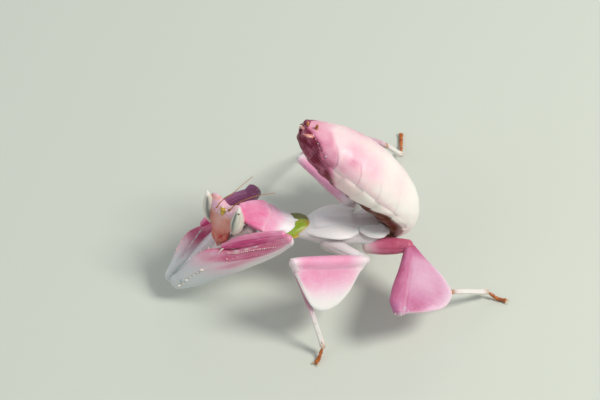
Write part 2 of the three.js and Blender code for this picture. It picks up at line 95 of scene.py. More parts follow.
class Side(Enum):
    """The animal's left and right."""

    LEFT = -1
    RIGHT = 1

    @property
    def word(self) -> str:
        """The side's name, as piece and node names end with it."""
        return self.name.lower()


# ---------------------------------------------------------------- forms


def vec(*numbers: float) -> np.ndarray:
    """A point or direction as an array."""
    return np.array(numbers, float)


def unit(direction: np.ndarray) -> np.ndarray:
    """The same direction with length 1, for one vector or many."""
    length = np.linalg.norm(direction, axis=-1, keepdims=True)
    return direction / np.maximum(length, 1e-12)


def smooth(value: np.ndarray, low: float, high: float) -> np.ndarray:
    """An eased step, from 0 below low to 1 above high."""
    share = np.clip((value - low) / (high - low), 0.0, 1.0)
    return share * share * (3.0 - 2.0 * share)


def swell(value: np.ndarray, middle: float, width: float) -> np.ndarray:
    """A bell of height 1 round a middle value."""
    return np.exp(-(((value - middle) / width) ** 2))


def eased(rows: Rows, place: np.ndarray) -> np.ndarray:
    """Reads a table at given places, eased between its rows.

    Args:
        rows: each a place followed by its values, in rising order of place.
        place: the places to read, of any length.

    Returns:
        One row of values for each place.
    """
    table = np.array(rows, float)
    at, values = table[:, 0], table[:, 1:]
    last = len(at) - 1
    before = np.maximum(np.arange(last + 1) - 1, 0)
    after = np.minimum(np.arange(last + 1) + 1, last)
    slope = (values[after] - values[before]) / (at[after] - at[before])[:, None]
    place = np.clip(np.asarray(place, float), at[0], at[-1])
    i = np.clip(np.searchsorted(at, place, side="right") - 1, 0, last - 1)
    span = (at[i + 1] - at[i])[:, None]
    u = ((place - at[i]) / span[:, 0])[:, None]
    start = (2 * u**3 - 3 * u**2 + 1) * values[i] + (u**3 - 2 * u**2 + u) * span * slope[i]
    end = (3 * u**2 - 2 * u**3) * values[i + 1] + (u**3 - u**2) * span * slope[i + 1]
    return start + end


def level(rows: Rows, place: np.ndarray) -> np.ndarray:
    """The first value of a table at given places, as eased reads it, in the places' own shape."""
    return eased(rows, np.ravel(place))[:, 0].reshape(np.shape(place))


class Line:
    """A smooth line through a few points, read by the share of its own length."""

    FINE = 60  # samples in each stretch between two points

    def __init__(self, points: Rows) -> None:
        """Works out the line.

        Args:
            points: the points that it passes through, in millimetres.
        """
        given = np.array(points, float)
        beyond = np.vstack([2 * given[0] - given[1], given, 2 * given[-1] - given[-2]])
        u = np.linspace(0.0, 1.0, self.FINE, endpoint=False)[:, None]
        stretches = []
        for a, b, c, d in zip(beyond, beyond[1:], beyond[2:], beyond[3:]):
            step = [max(float(np.linalg.norm(q - p)) ** 0.5, TINY) for p, q in ((a, b), (b, c), (c, d))]
            leave = ((b - a) / step[0] - (c - a) / (step[0] + step[1]) + (c - b) / step[1]) * step[1]
            reach = ((c - b) / step[1] - (d - b) / (step[1] + step[2]) + (d - c) / step[2]) * step[1]
            cubic = (2 * u**3 - 3 * u**2 + 1) * b + (u**3 - 2 * u**2 + u) * leave
            stretches.append(cubic + (3 * u**2 - 2 * u**3) * c + (u**3 - u**2) * reach)
        self.points = np.vstack([*stretches, given[-1:]])
        run = np.linalg.norm(np.diff(self.points, axis=0), axis=1)
        self.marks = np.concatenate([[0.0], np.cumsum(run)])
        self.length = float(self.marks[-1])
        self.tangents = unit(np.gradient(self.points, self.marks, axis=0))

    def at(self, share: np.ndarray | float) -> tuple[np.ndarray, np.ndarray]:
        """Reads points and directions at shares of the length.

        Args:
            share: 0 at the start and 1 at the end.

        Returns:
            The points, and the unit directions of the line there.
        """
        where = np.clip(np.atleast_1d(np.asarray(share, float)), 0, 1) * self.length
        spots = [np.interp(where, self.marks, self.points[:, i]) for i in range(3)]
        runs = [np.interp(where, self.marks, self.tangents[:, i]) for i in range(3)]
        return np.stack(spots, -1), unit(np.stack(runs, -1))


@dataclass
class Grid:
    """Rings of surface points over a swept form. Each array has one row for each ring.

    Attributes:
        points: the points, in millimetres.
        share: how far along the path each point is.
        over: offset toward +side as a share of the reach on that side, from -1 to 1.
        rise: offset toward +normal as a share of the reach on that side, from -1 to 1.
        fade: 1 along the form, and less on the domes that close its ends.
    """

    points: np.ndarray
    share: np.ndarray
    over: np.ndarray
    rise: np.ndarray
    fade: np.ndarray

    def normals(self) -> np.ndarray:
        """Outward unit directions at the points."""
        round_about = np.roll(self.points, -1, axis=1) - np.roll(self.points, 1, axis=1)
        return unit(np.cross(round_about, np.gradient(self.points, axis=0)))

    def raised(self, height: np.ndarray) -> "Grid":
        """The same surface pushed outward by a height at each point, in millimetres, less where it fades."""
        return replace(self, points=self.points + self.normals() * (height * self.fade)[..., None])

    def spots(self, marks: Rows, face: float, count: int) -> tuple[np.ndarray, np.ndarray]:
        """Finds points on one face of the skin, set evenly along a line drawn on it.

        Args:
            marks: the share and the over of a few places that the line passes.
            face: 1 for the face toward +normal and -1 for the other.
            count: how many points there are.

        Returns:
            The points, and the outward directions there.
        """
        line = Line([(*mark, 0.0) for mark in marks]).at(np.linspace(0, 1, count))[0]
        wrong = OTHER_FACE * (self.rise * face < 0)
        gaps = [(self.share - share) ** 2 + (self.over - over) ** 2 + wrong for share, over, _ in line]
        rings, turns = zip(*(np.unravel_index(np.argmin(gap), gap.shape) for gap in gaps))
        return self.points[rings, turns], self.normals()[rings, turns]


Section = Callable[[np.ndarray, np.ndarray], tuple[np.ndarray, np.ndarray]]


def round_section(turn: np.ndarray, sizes: np.ndarray) -> tuple[np.ndarray, np.ndarray]:
    """Works out the offsets of a section made of four quarter ellipses.

    Args:
        turn: places round the section, from 0 to 1.
        sizes: reach toward +side, -side, +normal and -normal for each ring.

    Returns:
        Offsets along the side and along the normal.
    """
    c, s = np.cos(2 * np.pi * turn)[None], np.sin(2 * np.pi * turn)[None]
    a, b, h, k = (sizes[:, i : i + 1] for i in range(4))
    return c * np.where(c > 0, a, b), s * np.where(s > 0, h, k)


@dataclass(frozen=True)
class PetalSection:
    """A round stem that thins into a blade, with a fold line where they meet.

    Attributes:
        blade: half thickness of the blade.
        cup: how far the blade's edge bends toward +normal.
        taper: width of the stem's slope down to the blade, as a share of its half thickness.
        ease: 0.5 for a round stem with a sharp fold, and more for a soft one.
        rim: how much the blade's edge is thickened.
        blade_turn: share of the half turn that draws the blade.
    """

    blade: float
    cup: float
    taper: float = 1.1
    ease: float = 0.5
    rim: float = 0.05
    blade_turn: float = 0.6

    def __call__(self, turn: np.ndarray, sizes: np.ndarray) -> tuple[np.ndarray, np.ndarray]:
        """Works out the offsets of the section.

        Args:
            turn, sizes: as round_section has them.

        Returns:
            Offsets along the side and along the normal.
        """
        a, b, h, _ = (sizes[:, i : i + 1] for i in range(4))
        half = np.where(turn < 0.5, turn * 2, 2 - turn * 2)[None]
        face = np.where(turn < 0.5, 1.0, -1.0)[None]
        stem = np.minimum(self.taper * h, a)
        fold = np.minimum(1.25 * stem, a)
        out = np.clip(half / self.blade_turn, 0, 1)
        back = np.clip((half - self.blade_turn) / (1 - self.blade_turn), 0, 1)
        far = fold + (a - fold) * np.cos(out * np.pi / 2)
        x = np.where(half < self.blade_turn, far, -b + (fold + b) * (1 - np.sin(back * np.pi / 2)))
        reach = np.where(x > 0, a, b)
        edge = np.clip(1 - (np.abs(x) / reach) ** 4, 0, 1) ** 0.5
        thin = np.minimum(self.blade, h) * edge
        thin = thin + self.rim * swell(a - x, 0.3, 0.16) * edge * (a > 2 * h)
        body = h * np.clip(1 - (x / np.where(x > 0, stem, b)) ** 2, 0, 1) ** np.where(x > 0, self.ease, 0.5)
        y = (thin**5 + body**5) ** 0.2
        bend = self.cup * smooth(np.clip(x / np.maximum(a, TINY), 0, 1), 0.15, 1.2) * smooth(a, 1.0, 4.0)
        return x, face * y + bend


@dataclass
class Loft:
    """A closed skin swept along a line.

    Attributes:
        path: points of the line, in millimetres.
        rows: at one share of the line each, the reach toward +side, -side, +normal and -normal.
        side: the direction that the section's side follows.
        sides: points round the skin.
        steps: rings along it, without its ends.
        ends: heights of the domes that close it.
        inset: how far the skin lies inside the rows' sizes.
        section: offsets round a ring.
    """

    path: Rows
    rows: Rows
    side: Sequence[float]
    sides: int = 40
    steps: int = 48
    ends: tuple[float, float] = (0.5, 0.5)
    inset: float = SKIN_INSET
    section: Section = round_section

    def grid(self) -> Grid:
        """Works out the skin.

        Returns:
            Its surface.
        """
        line = Line(self.path)
        tilt = np.arange(CAP_RINGS, 0, -1) / (CAP_RINGS + 0.25) * np.pi / 2
        middle = np.linspace(0, 1, self.steps + 1)
        share = np.concatenate([0 * tilt, middle, 0 * tilt + 1])
        scale = np.concatenate([np.cos(tilt), 0 * middle + 1, np.cos(tilt[::-1])])
        push = np.concatenate([-np.sin(tilt) * self.ends[0], 0 * middle, np.sin(tilt[::-1]) * self.ends[1]])
        centre, along = line.at(share)
        centre = centre + along * push[:, None]
        side = np.array(self.side, float)[None]
        side = unit(side - (along @ side[0])[:, None] * along)
        normal = np.cross(along, side)
        sizes = np.maximum(eased(self.rows, share) - self.inset, THINNEST)
        turn = (np.arange(self.sides) + 0.5) / self.sides
        x, y = self.section(turn, sizes)
        reach_x = np.where(x > 0, sizes[:, 0:1], sizes[:, 1:2])
        reach_y = np.where(y > 0, sizes[:, 2:3], sizes[:, 3:4])
        fade = scale[:, None]
        offset = (x * fade)[..., None] * side[:, None]
        points = centre[:, None] + offset + (y * fade)[..., None] * normal[:, None]
        return Grid(points, np.repeat(share[:, None], self.sides, 1), x / reach_x, y / reach_y, fade)


def tube(path: Rows, radii: Sequence[float], **options: object) -> Grid:
    """Works out a skin of round section.

    Args:
        path: points of its line.
        radii: radii at even shares of the line.
        options: any field of Loft.

    Returns:
        Its surface.
    """
    rows = [(i / (len(radii) - 1), r, r, r, r) for i, r in enumerate(radii)]
    settings = {"side": (0.31, 0.17, 1.0), "ends": (radii[0] * 0.8, radii[-1] * 0.8), "sides": 24, **options}
    return Loft(path, rows, **settings).grid()


def lengths_to_shares(points: Rows) -> np.ndarray:
    """Shares of a line's length at the points that it passes through."""
    line = Line(points)
    return line.marks[:: Line.FINE] / line.length


def mesh_of(name: str, grid: Grid, masks: Mapping[Mask, np.ndarray]) -> bpy.types.Mesh:
    """Makes a smooth closed mesh over a grid, in metres on the frame's axes.

    Args:
        name: the mesh's name.
        grid: the surface.
        masks: what is painted on it, one number for each point.

    Returns:
        The mesh, with a UV map in millimetres.
    """
    rings, around = grid.points.shape[:2]
    index = np.arange(rings * around).reshape(rings, around)
    beside = np.roll(index, -1, axis=1)
    quads = np.stack([index[:-1], beside[:-1], beside[1:], index[1:]], -1).reshape(-1, 4)
    first, last = rings * around, rings * around + 1
    caps = [(first, b, a) for a, b in zip(index[0], beside[0])]
    caps += [(last, a, b) for a, b in zip(index[-1], beside[-1])]
    ends = np.stack([grid.points[0].mean(0), grid.points[-1].mean(0)])
    points = (np.vstack([grid.points.reshape(-1, 3), ends]) - MIDDLE) * METRE
    mesh = bpy.data.meshes.new(name)
    mesh.from_pydata(points.tolist(), [], quads.tolist() + [tuple(int(i) for i in cap) for cap in caps])
    mesh.shade_smooth()
    for mask in Mask:
        values = np.broadcast_to(masks.get(mask, 0.0), grid.share.shape).reshape(-1)
        values = np.concatenate([values, [values[:around].mean(), values[-around:].mean()]])
        layer = mesh.attributes.new(mask.value, "FLOAT", "POINT")
        layer.data.foreach_set("value", np.clip(values, 0, 1).astype(np.float32))
    run = np.linalg.norm(np.diff(grid.points, axis=0), axis=2).mean(1)
    u = np.repeat(np.concatenate([[0], np.cumsum(run)])[:, None], around + 1, 1)
    girth = np.linalg.norm(np.roll(grid.points, -1, axis=1) - grid.points, axis=2).mean(0)
    v = np.repeat(np.concatenate([[0], np.cumsum(girth)])[None], rings, 0)
    corner = [(0, 0), (0, 1), (1, 1), (1, 0)]
    patch = [np.stack([g[i : rings - 1 + i, j : around + j] for i, j in corner], -1) for g in (u, v)]
    tips = [[(u[ring, 0], v[0, j])] * 3 for ring in (0, -1) for j in range(around)]
    flat = np.vstack([np.stack([p.reshape(-1) for p in patch], -1), np.array(tips, float).reshape(-1, 2)])
    mesh.uv_layers.new(name=SURFACE_MAP).uv.foreach_set("vector", flat.astype(np.float32).ravel())
    return mesh


# ---------------------------------------------------------------- finishes

Inputs = Mapping[str | int, object] | Sequence[object]


def linear(colour: str) -> tuple[float, float, float, float]:
    """Turns a colour to linear light.

    Args:
        colour: the colour as sRGB hex.

    Returns:
        Its red, green and blue, and full opacity.
    """
    parts = [int(colour[i : i + 2], 16) / 255 for i in (1, 3, 5)]
    red, green, blue = (p / 12.92 if p <= 0.04045 else ((p + 0.055) / 1.055) ** 2.4 for p in parts)
    return red, green, blue, 1.0


def feed(tree: bpy.types.NodeTree, node: bpy.types.Node, inputs: Inputs) -> None:
    """Sets and links inputs of a node.

    Args:
        tree: the tree that holds it.
        node: the node.
        inputs: for its first inputs in order, or for some by name or number, a value, the output that feeds
            the input, or a node whose first output does.
    """
    for name, value in inputs.items() if isinstance(inputs, Mapping) else enumerate(inputs):
        if isinstance(value, bpy.types.Node):
            value = value.outputs[0]
        if isinstance(value, bpy.types.NodeSocket):
            tree.links.new(value, node.inputs[name])
        else:
            node.inputs[name].default_value = value


def add(
    tree: bpy.types.NodeTree, kind: str, inputs: Inputs = (), stops: Sequence[tuple[float, str]] = (),
    **settings: object
) -> bpy.types.Node:
    """Adds one node with its settings and links.

    Args:
        tree: the tree that gets the node.
        kind: the node's type.
        inputs: what its inputs get, as feed takes it.
        stops: places and colours of a colour ramp.
        settings: the node's own settings.

    Returns:
        The node.
    """
    node = tree.nodes.new(kind)
    for name, value in settings.items():
        setattr(node, name, value)
    for i, (place, colour) in enumerate(stops):
        bands = node.color_ramp.elements
        band = bands[i] if i < 2 else bands.new(place)
        band.position, band.color = place, linear(colour)
    feed(tree, node, inputs)
    return node


def blank(name: str) -> tuple[bpy.types.Material, bpy.types.NodeTree, bpy.types.NodeSocket]:
    """Starts a material.

    Args:
        name: its name.

    Returns:
        The material, its node tree and its Object coordinates.
    """
    material = bpy.data.materials.new(name)
    material.use_nodes = True
    return material, material.node_tree, add(material.node_tree, "ShaderNodeTexCoord").outputs["Object"]


@dataclass(frozen=True)
class Cuticle:
    """Waxy insect cuticle: translucent like a petal, finely pored, with a soft gloss.

    Attributes:
        name: the material's name.
        ground: colour where there is no pink.
        flush: colours at a third, two thirds and full strength of the pink.
        stain: colour that Mask.STAIN paints, for real dark marks and, on some pieces, painted shade.
        pale: colour of the clear edge, and of the painted highlights, that Mask.PALE paints.
        roughness: of the wax, which is about 0.4 to 0.5.
        glow: share of the light that passes under the surface where it isn't dark.
        cloud_mm: size of the patches where the pink is stronger or weaker.
        cloud: how much they change it.
        streak_mm: spacing of the fine lines that run along the form.
        streak: how much they change the pink.
        pore_mm: spacing of the pores, drawn about twice as coarse as real ones so that they show.
        pore_depth_mm: depth of the pores.
        gloss: strength of the thin wax film over the cuticle.
    """

    name: str
    ground: str
    flush: tuple[str, str, str]
    stain: str = "#6a3524"
    pale: str = "#f4f2ef"
    roughness: float = 0.42
    glow: float = 0.3
    cloud_mm: float = 1.5
    cloud: float = 0.16
    streak_mm: float = 0.16
    streak: float = 0.08
    pore_mm: float = 0.11
    pore_depth_mm: float = 0.006
    gloss: float = 0.12

    def build(self) -> bpy.types.Material:
        """Makes the finish: pink by its mask, then the pale edge and painted highlights, the dark colour of
        real marks and of painted shade, and the pores.

        Returns:
            The material.
        """
        material, tree, place = blank(self.name)
        surface = add(tree, "ShaderNodeUVMap", uv_map=SURFACE_MAP)
        masks = (Mask.FLUSH, Mask.STAIN, Mask.PALE)
        painted = [add(tree, "ShaderNodeAttribute", attribute_name=mask.value) for mask in masks]
        level, stain, pale = (node.outputs["Fac"] for node in painted)
        cloud_scale, depth = 1 / (self.cloud_mm * METRE), self.pore_depth_mm * METRE
        clouds = add(tree, "ShaderNodeTexNoise", {"Vector": place, "Scale": cloud_scale, "Detail": 4.0})
        drawn_out = add(tree, "ShaderNodeVectorMath", (surface, (0.12, 1.0, 1.0)), operation="MULTIPLY")
        fine = {"Vector": drawn_out, "Scale": 1 / self.streak_mm, "Detail": 2.0}
        lines = add(tree, "ShaderNodeTexNoise", fine)
        for texture, amount in ((clouds, self.cloud), (lines, self.streak)):
            shift = add(tree, "ShaderNodeMapRange", (texture, 0.25, 0.75, -amount, amount))
            strength = add(tree, "ShaderNodeMath", (shift, level), operation="MULTIPLY")
            level = add(tree, "ShaderNodeMath", (level, strength), operation="ADD")
        shades = [(0.0, self.ground), (1.0, self.flush[2]), (0.34, self.flush[0]), (0.67, self.flush[1])]
        pink = add(tree, "ShaderNodeValToRGB", (level,), shades)
        edge = add(tree, "ShaderNodeMix", {0: pale, 6: pink, 7: linear(self.pale)}, data_type="RGBA")
        patchy = add(tree, "ShaderNodeMapRange", (clouds, 0.2, 0.8, 0.86, 1.15))
        darkening = add(tree, "ShaderNodeMath", (stain, patchy), operation="MULTIPLY", use_clamp=True)
        mixed = {0: darkening, 6: edge.outputs[2], 7: linear(self.stain)}
        darkened = add(tree, "ShaderNodeMix", mixed, data_type="RGBA")
        pore_size = {"Vector": place, "Scale": 1 / (self.pore_mm * METRE), "Smoothness": 0.6}
        cells = add(tree, "ShaderNodeTexVoronoi", pore_size, feature="SMOOTH_F1")
        speck = add(tree, "ShaderNodeMapRange", (cells, 0.1, 0.75, 0.965, 1.02))
        mixed = {0: 1.0, 6: darkened.outputs[2], 7: speck}
        final = add(tree, "ShaderNodeMix", mixed, data_type="RGBA", blend_type="MULTIPLY")
        smoothest, roughest = self.roughness - 0.06, self.roughness + 0.08
        worn = add(tree, "ShaderNodeMapRange", (clouds, 0.3, 0.7, smoothest, roughest))
        ridges = add(tree, "ShaderNodeBump", {"Height": lines, "Distance": 0.5 * depth, "Strength": 0.8})
        pored = {"Height": cells, "Distance": depth, "Strength": 0.9, "Normal": ridges}
        dense = add(tree, "ShaderNodeMath", (level, darkening), operation="MAXIMUM")
        darkest = (dense, 0.72, 0.96)  # where the pink or the dark colour is dense, less light goes in and the surface shines less
        finish = {
            "Base Color": final.outputs[2], "Roughness": worn, "Normal": add(tree, "ShaderNodeBump", pored),
            "Subsurface Weight": add(tree, "ShaderNodeMapRange", (*darkest, self.glow, 0.3 * self.glow)),
            "Specular IOR Level": add(tree, "ShaderNodeMapRange", (*darkest, 0.5, 0.2)), "IOR": 1.5,
            "Subsurface Radius": (1.0, 0.55, 0.5), "Subsurface Scale": 0.45 * METRE,
            "Coat Weight": self.gloss, "Coat Roughness": 0.3
        }
        feed(tree, tree.nodes["Principled BSDF"], finish)
        return material


@dataclass(frozen=True)
class Horn:
    """Hard clear horn, as on claws, spines and feelers: one colour that clouds into another, with a gloss.

    Attributes:
        name: the material's name.
        light: its lighter colour.
        dark: its darker colour.
        roughness: of its polish.
        cloud_mm: size of the clouds.
        glow: share of the light that passes under the surface.
    """

    name: str
    light: str
    dark: str
    roughness: float = 0.32
    cloud_mm: float = 0.5
    glow: float = 0.2

    def build(self) -> bpy.types.Material:
        """Makes the finish.

        Returns:
            The material.
        """
        material, tree, place = blank(self.name)
        scale = 1 / (self.cloud_mm * METRE)
        clouds = add(tree, "ShaderNodeTexNoise", {"Vector": place, "Scale": scale, "Detail": 3.0})
        shades = add(tree, "ShaderNodeValToRGB", (clouds,), [(0.35, self.light), (0.66, self.dark)])
        grain = add(tree, "ShaderNodeTexNoise", {"Vector": place, "Scale": scale * 9, "Detail": 2.0})
        bump = add(tree, "ShaderNodeBump", {"Height": grain, "Distance": 0.004 * METRE, "Strength": 0.7})
        worn = add(
            tree, "ShaderNodeMapRange", (grain, 0.0, 1.0, self.roughness - 0.08, self.roughness + 0.08)
        )
        finish = {
            "Base Color": shades, "Normal": bump, "Roughness": worn, "Subsurface Weight": self.glow,
            "Subsurface Radius": (1.0, 0.6, 0.3), "Subsurface Scale": 0.25 * METRE, "Coat Weight": 0.3,
            "Coat Roughness": 0.15
        }
        feed(tree, tree.nodes["Principled BSDF"], finish)
        return material


@dataclass(frozen=True)
class Facets:
    """Compound eye: cream cornea over fine six-sided facets, with a grey streak and a dark false pupil.

    Attributes:
        name: the material's name.
        cornea: colour of most of the eye.
        band: colour of the cornea's soft bands.
        streak: colour of the streak that Mask.STAIN paints.
        pupil: colour of the spot that Mask.FLUSH paints.
        tip: colour of the pointed tip that Mask.PALE paints.
        facet_mm: width of a facet, drawn about twice as coarse as a real one so that it shows.
    """

    name: str
    cornea: str
    band: str
    streak: str
    pupil: str
    tip: str
    facet_mm: float = 0.055

    def build(self) -> bpy.types.Material:
        """Makes the finish.

        Returns:
            The material.
        """
        material, tree, place = blank(self.name)
        surface = add(tree, "ShaderNodeUVMap", uv_map=SURFACE_MAP)
        drawn_out = add(tree, "ShaderNodeVectorMath", (surface, (0.25, 1.0, 1.0)), operation="MULTIPLY")
        bands = add(tree, "ShaderNodeTexNoise", {"Vector": drawn_out, "Scale": 4.0, "Detail": 2.0})
        colour = add(tree, "ShaderNodeValToRGB", (bands,), [(0.3, self.cornea), (0.75, self.band)])
        for mask, shade in ((Mask.STAIN, self.streak), (Mask.PALE, self.tip), (Mask.FLUSH, self.pupil)):
            amount = add(tree, "ShaderNodeAttribute", attribute_name=mask.value).outputs["Fac"]
            mixed = {0: amount, 6: colour, 7: linear(shade)}
            colour = add(tree, "ShaderNodeMix", mixed, data_type="RGBA").outputs[2]
        facet_size = {"Vector": place, "Scale": 1 / (self.facet_mm * METRE), "Randomness": 0.35}
        cells = add(tree, "ShaderNodeTexVoronoi", facet_size)
        domed = {"Height": cells, "Distance": 0.006 * METRE, "Strength": 0.6}
        finish = {
            "Base Color": colour, "Normal": add(tree, "ShaderNodeBump", domed, invert=True), "Roughness": 0.3,
            "Subsurface Weight": 0.25, "Subsurface Radius": (1.0, 0.9, 0.7), "Subsurface Scale": 0.3 * METRE,
            "Coat Weight": 0.5, "Coat Roughness": 0.12
        }
        feed(tree, tree.nodes["Principled BSDF"], finish)
        return material


class Finish(Enum):
    """The finishes of the animal, each with the name of the record's slot that it stands for."""

    # the abdomen's crimson and dark red-brown are its own colours deepened with painted shade
    ABDOMEN = (
        "pale_pink",
        Cuticle(
            "abdomen_wax_cuticle", "#f6f2ea", ("#f5cdd6", "#e08bab", "#74102f"), stain="#622a0c",
            pale="#fff4e6", cloud_mm=2.2, cloud=0.24, glow=0.35
        )
    )
    # the thorax's dark brown draws real spots, and over the trunk painted shade and painted shadow
    THORAX = (
        "white_cuticle",
        Cuticle("thorax_white_cuticle", "#f1f0f1", ("#ecd8de", "#e0a0b6", "#c4567e"), stain="#7a4a28")
    )
    # the pronotum's dark mauve-grey is painted shade for the plate's far side
    PRONOTUM = (
        "pink_cuticle",
        Cuticle(
            "pronotum_pink_cuticle", "#f4f0f3", ("#f4cfe0", "#f0a3c4", "#e8709f"), stain="#8d8192", cloud=0.2
        )
    )
    # the collar's dark olive-brown is painted shade for the band's far side
    COLLAR = (
        "green_collar",
        Cuticle(
            "collar_green_cuticle", "#8caa1c", ("#9fb432", "#b0a038", "#b5872c"), stain="#5b4f12",
            pale="#c9a548", glow=0.2
        )
    )
    # the face's dark red is partly painted shade, on the lower right side of the face
    FACE = (
        "salmon_face",
        Cuticle(
            "face_salmon_cuticle", "#ecbfd3", ("#e6ab9d", "#d98678", "#c23e3c"), stain="#8f3a30",
            pale="#f1d9dc", cloud_mm=0.9
        )
    )
    PETAL_MID = (
        "pink_cuticle",
        Cuticle(
            "middle_lobe_petal_cuticle", "#f5f3f4", ("#f5d7e4", "#efa8c8", "#e47aab"), stain="#b48492",
            cloud=0.12
        )
    )
    PETAL_HIND = (
        "pink_cuticle",
        Cuticle(
            "hind_lobe_petal_cuticle", "#e9dce7", ("#dfb3cb", "#cd7fa6", "#b04a72"), stain="#8b5f93",
            cloud=0.12
        )
    )
    # the foreleg's dark mauve is painted shade on the far femur and a painted shadow beside the fine teeth
    RAPTORIAL = (
        "pink_cuticle",
        Cuticle(
            "foreleg_petal_cuticle", "#d2d7d8", ("#e4c4d0", "#dc90aa", "#c95a82"), stain="#6f3f6f",
            pale="#f2eeec"
        )
    )
    # the fore tibia's dark mauve is painted shade on the far tibia, and also draws a thin dark line along each
    # tibia
    GRASP = (
        "deep_pink",
        Cuticle(
            "fore_tibia_cuticle", "#ecc4d6", ("#e8aac6", "#de7aa2", "#cc4a82"), stain="#7e4f7c",
            roughness=0.36, streak=0.2
        )
    )
    COXA_PINK = (
        "deep_pink",
        Cuticle("hip_crimson_cuticle", "#e6d8d4", ("#e2a6b8", "#d27390", "#bb5070"), stain="#8a2f40")
    )
    SHANK = (
        "white_cuticle",
        Cuticle("shin_white_cuticle", "#ece8e4", ("#dcc0cc", "#c490a6", "#a4587c"), stain="#b07a34")
    )
    FOOT = ("amber_horn", Horn("foot_amber_horn", "#c8762c", "#9a4a16"))
    CLAW = ("amber_horn", Horn("claw_pale_horn", "#e6d3ac", "#b98a4c"))
    FEELER = ("amber_horn", Horn("feeler_amber_horn", "#c98a45", "#a2602a", cloud_mm=0.9))
    SPINE = ("white_cuticle", Horn("spine_clear_horn", "#fbf4e4", "#ecd9c4", roughness=0.2))
    FORE_FOOT = ("white_cuticle", Horn("fore_foot_rosy_horn", "#cdb9c2", "#b99aa6"))
    PALP = ("salmon_face", Horn("palp_salmon_cuticle", "#e3a898", "#cf7a78", cloud_mm=0.4))
    CRIMSON = (
        "crimson_tip",
        Cuticle("abdomen_tip_crimson_cuticle", "#b05070", ("#9c3560", "#842045", "#5e102c"), roughness=0.34)
    )
    EYE = ("eye_white", Facets("compound_eye_cornea", "#ece8da", "#cfcabb", "#69716f", "#15110f", "#f8f6f0"))
    OCELLUS = (
        "gold_ocelli",
        Horn("ocellus_golden_lens", "#dcb93c", "#94701a", roughness=0.18, cloud_mm=0.35, glow=0.3)
    )
    PEARL = ("white_cuticle", Horn("pearly_granule_wax", "#fbf3f4", "#f0d6e0", roughness=0.18, glow=0.3))


# ---------------------------------------------------------------- what repeats


Source = bpy.types.Node | bpy.types.NodeSocket


class Repeater:
    """A Geometry Nodes tree that sets one small form many times over its host.

    Each kind has its own name for the tree, and the tree's named inputs with the type of each.
    """

    NAME: str
    SIZES: Mapping[str, str]

    def __init__(self) -> None:
        """Makes the tree with its inputs and output."""
        self.tree = bpy.data.node_groups.new(self.NAME, "GeometryNodeTree")
        face = self.tree.interface
        face.new_socket("Host", in_out="INPUT", socket_type="NodeSocketGeometry")
        self.ids = {}
        for name, kind in self.SIZES.items():
            self.ids[name] = face.new_socket(name, in_out="INPUT", socket_type=f"NodeSocket{kind}").identifier
        face.new_socket("Result", in_out="OUTPUT", socket_type="NodeSocketGeometry")
        self.given = add(self.tree, "NodeGroupInput").outputs
        self.build()

    def build(self) -> None:
        """Fills the tree. Each kind of repeater has its own."""
        raise NotImplementedError

    def close(self, points: Source, form: Source, turn: Source, size: Sequence[Source]) -> None:
        """Sets a form at points, turns it into smooth real mesh with its material and hands it out.

        Args:
            points: where it is set.
            form: the small form.
            turn: how it is turned.
            size: its scale along each axis.
        """
        scale = add(self.tree, "ShaderNodeCombineXYZ", size)
        placed = {"Points": points, "Instance": form, "Rotation": turn, "Scale": scale}
        copies = add(self.tree, "GeometryNodeInstanceOnPoints", placed)
        real = add(self.tree, "GeometryNodeRealizeInstances", {"Geometry": copies})
        even = add(self.tree, "GeometryNodeSetShadeSmooth", {0: real})
        coat = {"Geometry": even, "Material": self.given["Material"]}
        add(self.tree, "NodeGroupOutput", {"Result": add(self.tree, "GeometryNodeSetMaterial", coat)})

    def run(
        self, name: str, host: bpy.types.Mesh, material: bpy.types.Material, **sizes: float
    ) -> bpy.types.Mesh:
        """Runs the tree on a host mesh.

        Args:
            name: the name of the new mesh.
            host: the mesh that it works on, which isn't kept where nothing else uses it.
            material: what the small forms are made of.
            sizes: a value for each other named input.

        Returns:
            The plain mesh that the tree makes.
        """
        holder = bpy.data.objects.new(f"{name}_host", host)
        bpy.context.scene.collection.objects.link(holder)
        modifier = holder.modifiers.new(self.NAME, "NODES")
        modifier.node_group = self.tree
        for key, value in {**sizes, "material": material}.items():
            modifier[self.ids[key.title()]] = value
        done = holder.evaluated_get(bpy.context.evaluated_depsgraph_get())
        mesh = bpy.data.meshes.new_from_object(done)
        mesh.name = name
        holder.modifiers.clear()
        bpy.data.objects.remove(holder)
        if not host.users:
            bpy.data.meshes.remove(host)
        return mesh


